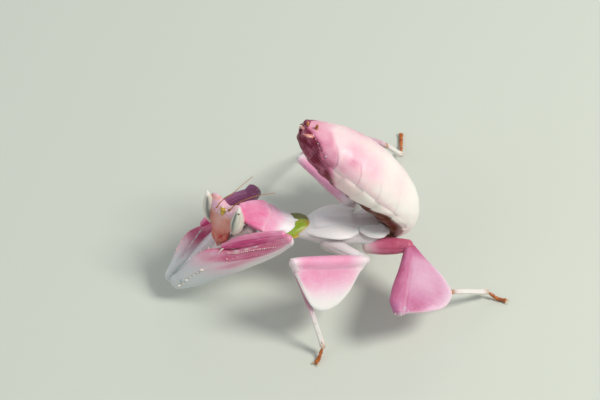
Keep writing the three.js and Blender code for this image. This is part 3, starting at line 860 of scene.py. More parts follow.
class SpineRow(Repeater):
    """Hooked spines set at even steps along a line, leaning and growing as its points say."""

    NAME = "spine_row"
    SIZES = {"Count": "Int", "Length": "Float", "Width": "Float", "Seed": "Int", "Material": "Material"}

    def build(self) -> None:
        """Makes one curved cone and sets it at each step, with a little variation in length."""
        tree, given = self.tree, self.given
        bend = {"Resolution": 7, "Start": (0, 0, -0.12), "Middle": (0.0, 0, 0.55), "End": (0.2, 0, 1.0)}
        arc = add(tree, "GeometryNodeCurveQuadraticBezier", bend)
        way = add(tree, "GeometryNodeSplineParameter").outputs["Factor"]
        left = add(tree, "ShaderNodeMath", (1.02, way), operation="SUBTRACT")
        taper = add(tree, "ShaderNodeMath", (left, 0.75), operation="POWER")
        thick = add(tree, "GeometryNodeSetCurveRadius", {"Curve": arc, "Radius": taper})
        ring = add(tree, "GeometryNodeCurvePrimitiveCircle", {"Resolution": 8, "Radius": 0.5})
        hull = {"Curve": thick, "Profile Curve": ring, "Fill Caps": True}
        spine = add(tree, "GeometryNodeCurveToMesh", hull)
        line = add(tree, "GeometryNodeMeshToCurve", (given["Host"],))
        steps = add(tree, "GeometryNodeResampleCurve", {"Curve": line, "Count": given["Count"]}, mode="COUNT")
        lean = add(tree, "GeometryNodeInputNamedAttribute", {"Name": "lean"}, data_type="FLOAT_VECTOR")
        turn = add(tree, "FunctionNodeAlignRotationToVector", {"Vector": lean}, axis="Z")
        vary = add(
            tree, "FunctionNodeRandomValue", {2: 0.85, 3: 1.15, "Seed": given["Seed"]}, data_type="FLOAT"
        )
        full = add(tree, "GeometryNodeInputNamedAttribute", {"Name": "tall"}, data_type="FLOAT")
        tall = add(tree, "ShaderNodeMath", (full, vary.outputs[1]), operation="MULTIPLY")
        height = add(tree, "ShaderNodeMath", (tall, given["Length"]), operation="MULTIPLY")
        width = add(tree, "ShaderNodeMath", (full, given["Width"]), operation="MULTIPLY")
        self.close(steps, spine, turn, (width, width, height))


class BeadRow(Repeater):
    """Barrel-shaped joints threaded along a line, as thick as its points say: feelers, cerci and palps."""

    NAME = "bead_row"
    SIZES = {"Count": "Int", "Length": "Float", "Material": "Material"}

    def build(self) -> None:
        """Makes one bead and threads it on the line."""
        tree, given = self.tree, self.given
        bead = add(tree, "GeometryNodeMeshUVSphere", {"Segments": 12, "Rings": 8, "Radius": 1.0})
        line = add(tree, "GeometryNodeMeshToCurve", (given["Host"],))
        steps = add(tree, "GeometryNodeResampleCurve", {"Curve": line, "Count": given["Count"]}, mode="COUNT")
        along = add(tree, "GeometryNodeInputTangent")
        turn = add(tree, "FunctionNodeAlignRotationToVector", {"Vector": along}, axis="Z")
        girth = add(tree, "GeometryNodeInputNamedAttribute", {"Name": "girth"}, data_type="FLOAT")
        self.close(steps, bead, turn, (girth, girth, given["Length"]))


class GranuleField(Repeater):
    """Small domed granules scattered over a skin where Mask.GRAIN is painted."""

    NAME = "granule_field"
    SIZES = {"Density": "Float", "Size": "Float", "Seed": "Int", "Material": "Material"}

    def build(self) -> None:
        """Scatters flattened domes over the host."""
        tree, given = self.tree, self.given
        grain = add(tree, "GeometryNodeInputNamedAttribute", {"Name": Mask.GRAIN.value}, data_type="FLOAT")
        density = add(tree, "ShaderNodeMath", (grain, given["Density"]), operation="MULTIPLY")
        field_of = {"Mesh": given["Host"], "Density": density, "Seed": given["Seed"]}
        spots = add(tree, "GeometryNodeDistributePointsOnFaces", field_of, distribute_method="RANDOM")
        dome = add(tree, "GeometryNodeMeshIcoSphere", {"Radius": 1.0, "Subdivisions": 2})
        vary = add(
            tree, "FunctionNodeRandomValue", {2: 0.55, 3: 1.2, "Seed": given["Seed"]}, data_type="FLOAT"
        )
        wide = add(tree, "ShaderNodeMath", (vary.outputs[1], given["Size"]), operation="MULTIPLY")
        low = add(tree, "ShaderNodeMath", (wide, 0.55), operation="MULTIPLY")
        self.close(spots, dome, spots.outputs["Rotation"], (wide, wide, low))


def thread(name: str, points: Rows, **values: Sequence[object]) -> bpy.types.Mesh:
    """Makes a line of joined points for a repeater to work on, in metres on the frame's axes.

    Args:
        name: the mesh's name.
        points: its points, in millimetres on the animal's axes.
        values: what is stored at each point, of girth (half thickness in millimetres), tall (share of the
            full size) and lean (a direction).

    Returns:
        The mesh of points and edges.
    """
    spots = (np.array(points, float) - MIDDLE) * METRE
    mesh = bpy.data.meshes.new(name)
    mesh.from_pydata(spots.tolist(), [(i, i + 1) for i in range(len(spots) - 1)], [])
    for key, given in values.items():
        stored = np.array(given, float) * (METRE if key == "girth" else 1.0)
        kind, slot = ("FLOAT", "value") if stored.ndim == 1 else ("FLOAT_VECTOR", "vector")
        mesh.attributes.new(key, kind, "POINT").data.foreach_set(slot, stored.astype(np.float32).ravel())
    return mesh


# ---------------------------------------------------------------- the workshop


@dataclass
class Workshop:
    """Makes each finish once, and makes, dresses, rides and reports every piece.

    Attributes:
        finishes: the materials made so far.
        count: how many pieces there are so far.
        spines, beads, granules: the repeaters.
    """

    finishes: dict[Finish, bpy.types.Material] = field(default_factory=dict)
    count: int = 0
    spines: SpineRow = field(default_factory=SpineRow)
    beads: BeadRow = field(default_factory=BeadRow)
    granules: GranuleField = field(default_factory=GranuleField)

    def material(self, finish: Finish) -> bpy.types.Material:
        """Finds the material of a finish, made at its first use.

        Args:
            finish: the finish.

        Returns:
            Its material.
        """
        if finish not in self.finishes:
            self.finishes[finish] = finish.value[1].build()
        return self.finishes[finish]

    def place(self, name: str, mesh: bpy.types.Mesh, finish: Finish, *nodes: str) -> bpy.types.Object:
        """Makes a piece of a finished mesh.

        Args:
            name: the piece's name.
            mesh: its mesh, in the frame's axes and metres.
            finish: what it is made of.
            nodes: the CAD nodes that it stands for.

        Returns:
            The piece, riding on the body.
        """
        piece = bpy.data.objects.new(name, mesh)
        bpy.context.scene.collection.objects.link(piece)
        if not mesh.materials:
            mesh.materials.append(self.material(finish))
        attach(piece, BODY)
        if nodes:
            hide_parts(*nodes)
        self.count += 1
        LOG.info("%s: %d faces, for %s", name, len(mesh.polygons), ", ".join(nodes) or "detail")
        return piece

    def skin(
        self, name: str, grid: Grid, finish: Finish, *nodes: str,
        masks: Mapping[Mask, np.ndarray] | None = None
    ) -> bpy.types.Object:
        """Makes a piece of a grid, painted with masks.

        Args:
            name, finish, nodes: as place has them.
            grid: its surface.
            masks: what is painted on it, as mesh_of has it.

        Returns:
            The piece.
        """
        return self.place(name, mesh_of(name, grid, masks or {}), finish, *nodes)

    def set_spines(
        self, name: str, roots: Rows, tall: Sequence[float], lean: Rows, length: float, width: float,
        count: int = 0
    ) -> None:
        """Makes a row of spines as one piece.

        Args:
            name: the piece's name.
            roots: where they stand, or a line that they follow, in millimetres on the animal's axes.
            tall: share of the full size at each root.
            lean: direction of the spine at each root.
            length, width: full size, in millimetres.
            count: how many there are, where it isn't one for each root.
        """
        host = thread(f"{name}_line", roots, tall=tall, lean=lean)
        sizes = {"count": count or len(roots), "length": length * METRE, "width": width * METRE, "seed": SEED}
        mesh = self.spines.run(name, host, self.material(Finish.SPINE), **sizes)
        self.place(name, mesh, Finish.SPINE)

    def thread_beads(
        self, name: str, finish: Finish, points: Rows, girth: Sequence[float], count: int, length: float,
        *nodes: str
    ) -> None:
        """Makes a row of beads as one piece.

        Args:
            name, finish, nodes: as place has them.
            points: the line that it follows, in millimetres on the animal's axes.
            girth: half thickness at each point, in millimetres.
            count: how many beads it has.
            length: half the length of a bead, in millimetres.
        """
        host = thread(f"{name}_line", points, girth=girth)
        mesh = self.beads.run(name, host, self.material(finish), count=count, length=length * METRE)
        self.place(name, mesh, finish, *nodes)

    def scatter(self, name: str, skin: bpy.types.Object, per_mm2: float, size: float) -> None:
        """Makes granules over a skin as one piece.

        Args:
            name: the piece's name.
            skin: the piece that carries them.
            per_mm2: how many there are where Mask.GRAIN is full.
            size: half the width of a granule, in millimetres.
        """
        sizes = {"density": per_mm2 / METRE**2, "size": size * METRE, "seed": SEED}
        mesh = self.granules.run(name, skin.data, self.material(Finish.PEARL), **sizes)
        self.place(name, mesh, Finish.PEARL)


@dataclass
class Part:
    """A sub-assembly of the animal, with the workshop that makes its pieces."""

    shop: Workshop = field(init=False, repr=False)

    def build(self) -> None:
        """Makes the part's pieces. Each kind of part has its own."""
        raise NotImplementedError


# ---------------------------------------------------------------- the animal


@dataclass
class Abdomen(Part):
    """The abdomen: one skin with eight overlapping rings, its tip plates, a row of pale beads that stand for
    glints, and cerci.
    """

    path: tuple[Point, ...] = (
        (5.0, 0, 6.75), (5.65, 0.05, 8.9), (5.05, 0.35, 11.3), (2.85, 1.1, 14.45), (0, 2.1, 17.3),
        (-2.5, 3.0, 19.35), (-4.2, 3.65, 20.6), (-5.0, 3.95, 21.15)
    )
    half_width: float = 4.2
    half_depth: float = 3.1
    side: Point = (0.19, 0.97, -0.12)
    ring_ends: tuple[float, ...] = (0.13, 0.27, 0.41, 0.55, 0.68, 0.79, 0.89)  # of the back plates
    belly_ends: tuple[float, ...] = (0.15, 0.3, 0.45, 0.603, 0.763)  # of the belly plates, at the flank
    ring_step: float = 0.12  # how far a ring stands out over the next, mm
    back_edge: tuple[tuple[float, float], ...] = (  # angle where the back plates end, along the path
        (0, 22), (0.15, 20), (0.27, 12), (0.4, 4), (0.6, 0), (0.76, -9), (0.83, -7), (0.89, 10), (1, 55)
    )
    base_edge: tuple[tuple[float, float], ...] = (  # angle where the dark base of the back ends
        (0, 20), (0.1, 15), (0.127, 11), (0.19, 4), (0.27, -2), (0.34, -10), (0.42, -24), (0.5, -38),
        (0.58, -43), (0.68, -41), (1, -60)
    )
    clouds: tuple[Point, ...] = (  # place along the path, angle and strength of the belly's pink clouds
        (0.7, 44.0, 0.36), (0.56, 50.0, 0.28), (0.377, 64.0, 0.17)
    )

    def rows(self) -> list[Row]:
        """Lists the sections.

        Returns:
            The share of the path and the reach to the right, left, back and underside of each.
        """
        w, d = self.half_width, self.half_depth
        return [
            (0, 1.5, 1.5, 1.3, 1.3), (0.11, 2.5, 2.5, 2.2, 2.2), (0.23, 3.5, 3.5, 2.8, 2.8),
            (0.43, w, w, 3.4, d), (0.62, 4.1, 4.1, 3.7, 3.0), (0.8, 3.3, 3.3, 3.5, 2.35),
            (0.93, 2.2, 2.2, 2.75, 1.5), (1, 1.4, 1.4, 1.8, 0.95)
        ]

    def angle(self, grid: Grid) -> np.ndarray:
        """How far round each point is: -90 at the middle of the back, 0 at a flank and 90 on the belly."""
        return np.degrees(np.arctan2(-grid.rise, np.abs(grid.over)))

    def edge_of_back(self, share: np.ndarray) -> np.ndarray:
        """The angle where the back plates end, which rises over the belly at the tip."""
        return level(self.back_edge, share)

    def ring_place(self, grid: Grid, belly: np.ndarray) -> tuple[np.ndarray, np.ndarray]:
        """Works out how far through its plate each point is, and how near the plate's rear edge.

        Args:
            grid: the skin.
            belly: 1 on the belly plates and 0 on the back plates.

        Returns:
            The share through the plate, and a bell that is 1 at its rear edge.
        """
        through, rear = 0.0, 0.0
        for ends, at, part in (
            (self.ring_ends, grid.share + 0.015 * (1 - grid.over**2), 1 - belly),
            (self.belly_ends, grid.share - 0.107 * np.minimum(grid.rise, 0) ** 2, belly)
        ):
            marks = np.array((-0.12, *ends, 1.08))
            which = np.clip(np.searchsorted(marks, at) - 1, 0, len(marks) - 2)
            through += part * (at - marks[which]) / (marks[which + 1] - marks[which])
            rear += part * swell(np.min(np.abs(at[..., None] - np.array(ends)), axis=-1), 0, 0.005)
        return np.clip(through, 0, 1), rear

    def dark_base(self, grid: Grid) -> np.ndarray:
        """How far the angle is inside the red-brown base of the back, deepened with painted shade, in degrees.
        """
        return level(self.base_edge, grid.share) - self.angle(grid)

    def strip(self, grid: Grid) -> np.ndarray:
        """Finds the soft pale strip along each flank, beside the back plates' edge.

        Args:
            grid: the skin.

        Returns:
            1 on the strip and 0 off it.
        """
        low = smooth(self.angle(grid), -46, -36) * smooth(
            self.edge_of_back(grid.share) - self.angle(grid), -2, 4
        )
        low *= smooth(-self.dark_base(grid), -1, 7)
        return low * smooth(grid.share, 0.18, 0.3) * (1 - smooth(grid.share, 0.7, 0.78))

    def relief(self, grid: Grid) -> np.ndarray:
        """Works out the plates' steps, the flank's fold, its soft strip and the keel of the back.

        Args:
            grid: the skin.

        Returns:
            The height at each point, in millimetres.
        """
        share, angle, strip = grid.share, self.angle(grid), self.strip(grid)
        fold = (angle - self.edge_of_back(share)) * 0.06
        belly = smooth(fold, -0.1, 0.1)
        through, rear = self.ring_place(grid, belly)
        fade = smooth(share, 0.02, 0.12) * (1 - 0.6 * smooth(share, 0.9, 1.0))
        blurred = belly * (0.3 + 0.6 * smooth(angle, 15, 60))
        steps = self.ring_step * (smooth(through, 0.1, 0.9) - 0.5) * (1 - blurred) * fade
        steps *= 1 - 0.5 * strip
        ripple = 0.02 * np.sin(90 * share + 0.06 * angle) * np.sin(0.11 * angle - 24 * share) * fade
        tip = smooth(share, 0.7, 0.8)
        groove = (0.03 + 0.1 * tip) * swell(fold, 0.05, 0.2) * fade * smooth(share, 0.18, 0.3)
        lip = 0.08 * swell(fold, -0.22, 0.2) * fade * tip
        bulge = 0.16 * strip * swell(angle, -16, 16) * np.sin(np.pi * through)
        keel = 0.12 * swell(grid.over, 0.0, 0.12) * smooth(grid.rise, 0.2, 0.9) * fade
        nick = 0.02 * rear * fade * (1 - strip) * (1 - blurred)
        return steps - groove + lip + bulge + keel - nick + ripple - self.ring_step * 0.5

    def masks(self, grid: Grid) -> dict[Mask, np.ndarray]:
        """Paints the pink clouds of the belly, the crimson of the tip and the red-brown base of the back, both
        deepened with painted shade, and a painted shade along the back's edge.

        Args:
            grid: the skin.

        Returns:
            What each mask says at each point.
        """
        share, over, angle, strip = grid.share, grid.over, self.angle(grid), self.strip(grid)
        fold = angle - self.edge_of_back(share)
        belly = smooth(fold, -1.5, 1.5)
        through, rear = self.ring_place(grid, belly)
        flush = sum(much * swell(share, at, 0.075) * swell(angle, turn, 34) for at, turn, much in self.clouds)
        tip = smooth(share - 0.107 * np.minimum(grid.rise, 0) ** 2, 0.745, 0.785)
        flush = flush * (1 - 0.8 * tip) + tip * (
            0.56 - 0.24 * smooth(over, -0.5, 0.5) * smooth(1 - share, 0.04, 0.14)
        )
        flush += 0.2 * belly * smooth(share, 0.5, 0.77) * (1 - tip) + 0.2 * tip * (1 - smooth(fold, 3, 24))
        flush += 0.28 * swell(angle, 6, 16) * smooth(over, 0.2, 0.8) * smooth(share, 0.3, 0.6)
        flush += 0.08 * rear * belly * smooth(share, 0.4, 0.75) * (1 - smooth(angle, 20, 60))
        # the crimson of the tip: its own colour deepened with painted shade
        reach = 0.77 + 0.0027 * np.minimum(angle + 9, 0)
        crimson = smooth(share - reach, -0.07, 0.04) * (0.95 + 0.05 * through)
        fringe_and_edge_shade = smooth(share - reach, -0.3, 0.0) * (0.34 - 0.18 * strip)
        crimson *= 1 - 0.16 * swell(angle, 2, 24) * smooth(share, 0.78, 0.88)
        # painted shade: a dark crimson edge along the back toward its base
        fringe_and_edge_shade = np.maximum(fringe_and_edge_shade, 0.72 * smooth(-angle, 36, 54) * smooth(share, 0.36, 0.6))
        flush = flush * belly + (1 - belly) * np.maximum(crimson, fringe_and_edge_shade)
        beige = swell(angle, 9, 9) * smooth(share, 0.22, 0.35) * (1 - smooth(share, 0.74, 0.8)) * belly
        # the red-brown base of the back, deepened with painted shade, most on the back
        dark = smooth(self.dark_base(grid), -3, 4) * (
            1 - 0.35 * smooth(share, 0.42, 0.54)
        ) * (1 - smooth(share, 0.68, 0.8))
        dark *= 0.7 + 0.3 * smooth(-angle, -10, 14)
        stain = np.maximum(dark, 0.08 * beige)
        flush += 0.14 * beige + 0.26 * strip * smooth(share, 0.45, 0.68)
        return {Mask.FLUSH: flush, Mask.STAIN: stain, Mask.PALE: 0.45 * strip * (1 - crimson)}

    def on_tip(self, x: float, y: float, z: float) -> Point:
        """Finds a point by the tip.

        Args:
            x, y, z: how far it is from the tip's end toward the tip's right, toward its back and beyond it.

        Returns:
            The point, on the animal's axes.
        """
        line = Line(self.path)
        end, along = line.at(1.0)
        side = unit(vec(*self.side) - (along[0] @ vec(*self.side)) * along[0])
        place = end[0] + side * x + np.cross(along[0], side) * y + along[0] * z
        return tuple(float(c) for c in place)

    def build(self) -> None:
        """Makes the abdomen's pieces."""
        grid = Loft(self.path, self.rows(), self.side, sides=180, steps=300, ends=(0.05, 0.3)).grid()
        grid = grid.raised(self.relief(grid))
        rings = [f"abdomen_{i}" for i in range(1, 9)]
        self.shop.skin("abdomen_skin", grid, Finish.ABDOMEN, *rings, masks=self.masks(grid))
        # painted glints: a row of pale beads along the back plates' edge near the tip
        marks = [
            (s, -math.cos(math.radians(float(self.edge_of_back(vec(s))[0]))))
            for s in (0.84, 0.88, 0.92, 0.96)
        ]
        beads, _ = grid.spots(marks, -1, 6)
        girth = [0.09, 0.05, 0.08, 0.06, 0.04, 0.08]
        self.shop.thread_beads("abdomen_tip_pearls", Finish.PEARL, beads, girth, len(girth), 0.07)
        self.build_tip()
        self.build_cerci()

    def build_tip(self) -> None:
        """Makes the small plates and valves at the tip."""
        plates = {
            "supra_anal_plate": (
                (-0.1, 0.75, -0.15), (-0.05, 0.6, 0.3), (0.0, 0.3, 0.5), 0.75, Finish.CRIMSON
            ),
            "valve_left": ((-0.5, -0.2, 0.0), (-0.45, -0.1, 0.4), (-0.3, 0.05, 0.66), 0.24, Finish.PALP),
            "valve_right": ((0.35, -0.15, 0.0), (0.35, -0.05, 0.4), (0.25, 0.1, 0.62), 0.24, Finish.PALP),
            "valve_side": (
                (-1.3, -0.55, -1.0), (-1.62, -0.42, -0.45), (-1.5, -0.15, 0.12), 0.32, Finish.PALP
            ),
            "subgenital_lip": (
                (0.05, -0.75, -0.1), (0.1, -0.6, 0.35), (0.1, -0.35, 0.55), 0.7, Finish.CRIMSON
            )
        }
        for name, (root, middle, tip, width, finish) in plates.items():
            rows = [
                (0, width, width, 0.22, 0.22), (0.6, width * 0.85, width * 0.85, 0.2, 0.18),
                (1, width * 0.3, width * 0.3, 0.1, 0.1)
            ]
            path = [self.on_tip(*p) for p in (root, middle, tip)]
            grid = Loft(path, rows, self.side, sides=28, steps=18, ends=(0.05, 0.12)).grid()
            masks = {Mask.FLUSH: 0.35 + 0.5 * grid.share, Mask.PALE: 0.6 * smooth(grid.share, 0.85, 1.0)}
            self.shop.skin(f"abdomen_{name}", grid, finish, masks=masks)

    def build_cerci(self) -> None:
        """Makes the two short ringed tail feelers."""
        for side in Side:
            hand = side.value
            root = vec(-4.35 - 0.4 * hand, 3.45 + 0.25 * hand, 21.15)
            tip = vec(-4.25 - 0.5 * hand, 3.3 + 0.3 * hand, 22.33)
            share = np.linspace(0, 1, 9)
            points = root + (tip - root) * share[:, None]
            node, girth = f"cercus_{side.word}", 0.27 - 0.12 * share**1.5
            self.shop.thread_beads(f"{node}_rings", Finish.FEELER, points, girth, 8, 0.11, node)


@dataclass
class Thorax(Part):
    """Neck, thorax, pronotum, green collar and wing pads."""

    half_width: float = 2.25
    half_height: float = 1.5
    pad_veins: int = 7

    def stations(self) -> list[tuple[Point, Row]]:
        """Lists the trunk's sections.

        Returns:
            Points of the trunk's line from neck to waist, each with the sizes of its section.
        """
        w, h = self.half_width, self.half_height
        sizes = [
            ((-14.25, 0.9, 11.3), 0.62, 0.62, 0.6, 0.6), ((-13.2, 1.1, 10.9), 0.85, 0.85, 0.7, 0.7),
            ((-11.4, 0.85, 10.3), 1.45, 1.45, 1.15, 0.95), ((-9.0, 0.5, 9.45), 1.5, 1.5, 1.2, 1.0),
            ((-6.6, 0.15, 8.6), 1.35, 1.35, 1.0, 1.0),
            ((-5.2, 0.0, 8.4), w * 0.7, w * 0.7, h * 0.76, h * 0.7),
            ((-3.6, 0.0, 8.15), w * 0.98, w * 0.98, h * 0.98, h * 0.98),
            ((-1.2, 0.0, 7.75), w * 1.02, w * 1.02, h * 1.02, h * 1.02),
            ((0.6, 0.0, 7.38), w * 0.93, w * 0.93, h * 0.93, h * 0.95),
            ((2.4, 0.0, 7.02), w * 0.98, w * 0.98, h * 0.97, h * 0.98),
            ((4.0, 0.0, 6.75), w * 0.84, w * 0.84, h * 0.84, h * 0.84),
            ((5.0, 0.0, 6.7), w * 0.68, w * 0.68, h * 0.7, h * 0.7)
        ]
        return [(point, tuple(rest)) for point, *rest in sizes]

    def build(self) -> None:
        """Makes the thorax's pieces."""
        self.build_trunk()
        self.build_pronotum()
        self.build_collar()
        self.build_pads()

    def build_trunk(self) -> None:
        """Makes the one skin from the neck to the waist."""
        stations = self.stations()
        path = [point for point, _ in stations]
        shares = lengths_to_shares(path)
        rows = [(share, *sizes) for share, (_, sizes) in zip(shares, stations)]

        grid = Loft(path, rows, (0, -1, 0), sides=96, steps=220, ends=(0.1, 0.2)).grid()
        share, over, rise = grid.share, grid.over, grid.rise
        up = smooth(-rise, 0.1, 0.9)
        folds = sum(swell(share, shares[i], 0.008) for i in (1, 4))
        saddle = smooth(share, 0.47, 0.53) * (1 - smooth(share, 0.88, 0.96))
        back = 0.46 * smooth(0.72 - np.abs(over), 0.0, 0.36) * up * saddle
        keel = 0.06 * swell(over, 0, 0.1) * up * saddle
        shelf = 0.06 * up * swell(share, 0.72, 0.02)
        wrinkle = 0.03 * np.sin(share * 240) * (1 - smooth(share, 0.05, 0.12))
        grid = grid.raised(back + keel + shelf + wrinkle - 0.12 * folds)
        up = smooth(-rise, 0.0, 0.7)
        spots = sum(
            much * swell(share, at, 0.013) * swell(over, off, 0.12) * (rise < 0) for at, off,
            much in ((0.777, -0.53, 0.8), (0.74, -0.8, 0.7), (0.755, -0.62, 0.35))
        )
        rear = smooth(share, 0.82, 0.95)
        stain = np.maximum(spots, rear * smooth(-rise, -0.3, 0.5))
        # the left flank by the middle legs: tan, deepened with painted shade
        stain = np.maximum(stain, 0.24 * smooth(over, 0.3, 0.9) * swell(share, 0.6, 0.16))
        # painted shade on the top of the right side
        stain = np.maximum(stain, 0.16 * swell(share, 0.76, 0.09) * up * smooth(-over, 0.1, 0.8))
        # painted shadow of the abdomen over the top of the rear thorax
        stain = np.maximum(stain, 0.34 * smooth(share, 0.66, 0.84) * up)
        stain = np.maximum(stain, 0.5 * swell(share, 0.2, 0.12) * smooth(over, 0.2, 0.9))
        flush = 0.25 * (1 - smooth(share, 0.0, 0.4)) + 0.22 * rear
        nodes = ("neck", "prothorax", "mesothorax", "metathorax")
        masks = {Mask.STAIN: stain, Mask.FLUSH: flush}
        self.shop.skin("trunk_skin", grid, Finish.THORAX, *nodes, masks=masks)

    def build_pronotum(self) -> None:
        """Makes the saddle-shaped plate over the prothorax."""
        rows = [
            (0, 1.3, 1.3, 0.5, 0.35), (0.12, 1.9, 1.8, 0.62, 0.35), (0.34, 2.55, 2.4, 0.78, 0.35),
            (0.53, 2.6, 2.2, 0.78, 0.35), (0.7, 2.2, 1.75, 0.72, 0.35), (0.88, 2.05, 1.85, 0.7, 0.35),
            (1, 1.95, 1.9, 0.62, 0.3)
        ]
        bow = ((-1, 0.47), (-0.65, 0.5), (-0.13, 0.533), (0.65, 0.427), (1, 0.387))
        path = ((-13.0, 0.8, 11.62), (-9.8, 0.4, 10.62), (-6.5, 0.0, 9.45))
        grid = Loft(path, rows, (0, -1, 0), sides=120, steps=150, ends=(0.3, 0.35)).grid()
        share, over, rise = grid.share, grid.over, grid.rise
        near = share - level(bow, over)  # distance from the cross furrow, which bows backward at its middle
        up = smooth(-rise, 0.05, 0.6)
        front = 0.17 * (1 - smooth(near, -0.04, 0.0)) * smooth(share, 0.02, 0.2) * up
        furrow = -0.1 * swell(near, 0.0, 0.02) * up
        keel = 0.1 * swell(over, -0.1, 0.1) * up * smooth(share, 0.5, 0.7)
        brim = 0.06 * swell(np.abs(over), 0.93, 0.06) * smooth(-rise, -0.1, 0.3)
        hem = 0.05 * (swell(share, 0.985, 0.02) + swell(share, 0.03, 0.03)) * up
        grid = grid.raised(front + furrow + keel + brim + hem)
        self.sweep_back(grid, 2.1, 1.1, smooth(share, 0.55, 1.0))
        front = 0.88 - 0.2 * smooth(near, -0.14, -0.01) - 0.16 * smooth(-over, -0.1, 1.0)
        rear = 0.58 - 0.85 * smooth(near, 0.06, 0.5) + 0.06 * smooth(over, 0.0, 0.8)
        behind = smooth(near, -0.015, 0.015)
        flush = np.clip(front * (1 - behind) + rear * behind, 0, 1)
        # painted shade: the plate's right side, away from the light, is darker
        far = smooth(-over, 0.15, 0.8) * smooth(share, 0.3, 0.62)
        pale = 0.22 * swell(near, -0.02, 0.025) + 0.3 * smooth(share, 0.8, 1.0) * (1 - far)
        masks = {Mask.FLUSH: flush, Mask.STAIN: 0.5 * far, Mask.PALE: pale}
        self.shop.skin("pronotum_plate", grid, Finish.PRONOTUM, "pronotum", masks=masks)

    @staticmethod
    def sweep_back(grid: Grid, left: float, right: float, strength: np.ndarray | float) -> None:
        """Draws a plate's sides toward the head, so that its rear edge is a crescent.

        Args:
            grid: the plate, whose side is the animal's left.
            left: how far its left edge moves, in millimetres.
            right: how far its right edge moves.
            strength: share of the move at each point.
        """
        grid.points[..., 0] -= np.where(grid.over > 0, left, right) * grid.over**2 * strength

    def build_collar(self) -> None:
        """Makes the green band behind the pronotum."""
        path = ((-7.0, 0.1, 9.47), (-6.1, 0.05, 9.2), (-5.3, 0, 8.97))
        rows = [(0, 1.7, 1.65, 0.6, 0.45), (0.6, 1.95, 1.85, 0.7, 0.66), (1, 1.85, 1.75, 0.66, 0.62)]
        grid = Loft(path, rows, (0, -1, 0), sides=96, steps=50, ends=(0.0, 0.22)).grid()
        share, over = grid.share, grid.over
        self.sweep_back(grid, 1.9, 0.5, 1.0)
        # painted shade: the band's right side, away from the light, is darker
        far = smooth(-over, 0.0, 0.3)
        rim = smooth(share, 0.9, 1.0) + 0.5 * smooth(np.abs(over), 0.85, 1.0)
        masks = {
            Mask.STAIN: 0.85 * far, Mask.PALE: 0.65 * np.clip(rim, 0, 1),
            Mask.FLUSH: 0.4 * smooth(share, 0.55, 0.95) + 0.45 * swell(over, 0.05, 0.15)
        }
        self.shop.skin("collar_band", grid, Finish.COLLAR, "collar", masks=masks)

    def build_pads(self) -> None:
        """Makes the four wing pads, with raised veins."""
        lines = {
            "front": ([(-5.5, 0.9, 9.0), (-2.6, 1.55, 9.4), (0.3, 1.75, 8.95)], 1.25),
            "rear": ([(0.8, 1.35, 8.75), (2.3, 1.45, 8.5), (4.0, 1.6, 8.15)], 1.05)
        }
        for pair, (points, reach) in lines.items():
            rows = [
                (0, 0.4, 0.5, 0.2, 0.2), (0.25, 0.9, 1.0, 0.22, 0.22), (0.6, reach, 1.1, 0.22, 0.22),
                (0.85, reach * 0.8, 0.9, 0.2, 0.2), (1, reach * 0.35, 0.45, 0.16, 0.16)
            ]
            for side in Side:
                path = [(x, y * side.value, z) for x, y, z in points]
                tilt = (0, side.value, -0.32)
                grid = Loft(path, rows, tilt, sides=112, steps=70, ends=(0.2, 0.25)).grid()
                share, over = grid.share, grid.over
                veins = np.cos(over * self.pad_veins * (1.15 - 0.25 * share) * np.pi) ** 8
                grid = grid.raised(
                    0.02 * veins * smooth(share, 0.05, 0.3) * smooth(1 - np.abs(over), 0.02, 0.2)
                )
                masks = {
                    Mask.PALE: 0.5 + 0.4 * smooth(np.abs(over), 0.4, 0.9),
                    Mask.STAIN: 0.14 * smooth(share, 0.7, 1.0) * (pair == "rear")
                }
                node = f"wing_pad_{pair}_{side.word}"
                self.shop.skin(f"{node}_plate", grid, Finish.THORAX, node, masks=masks)


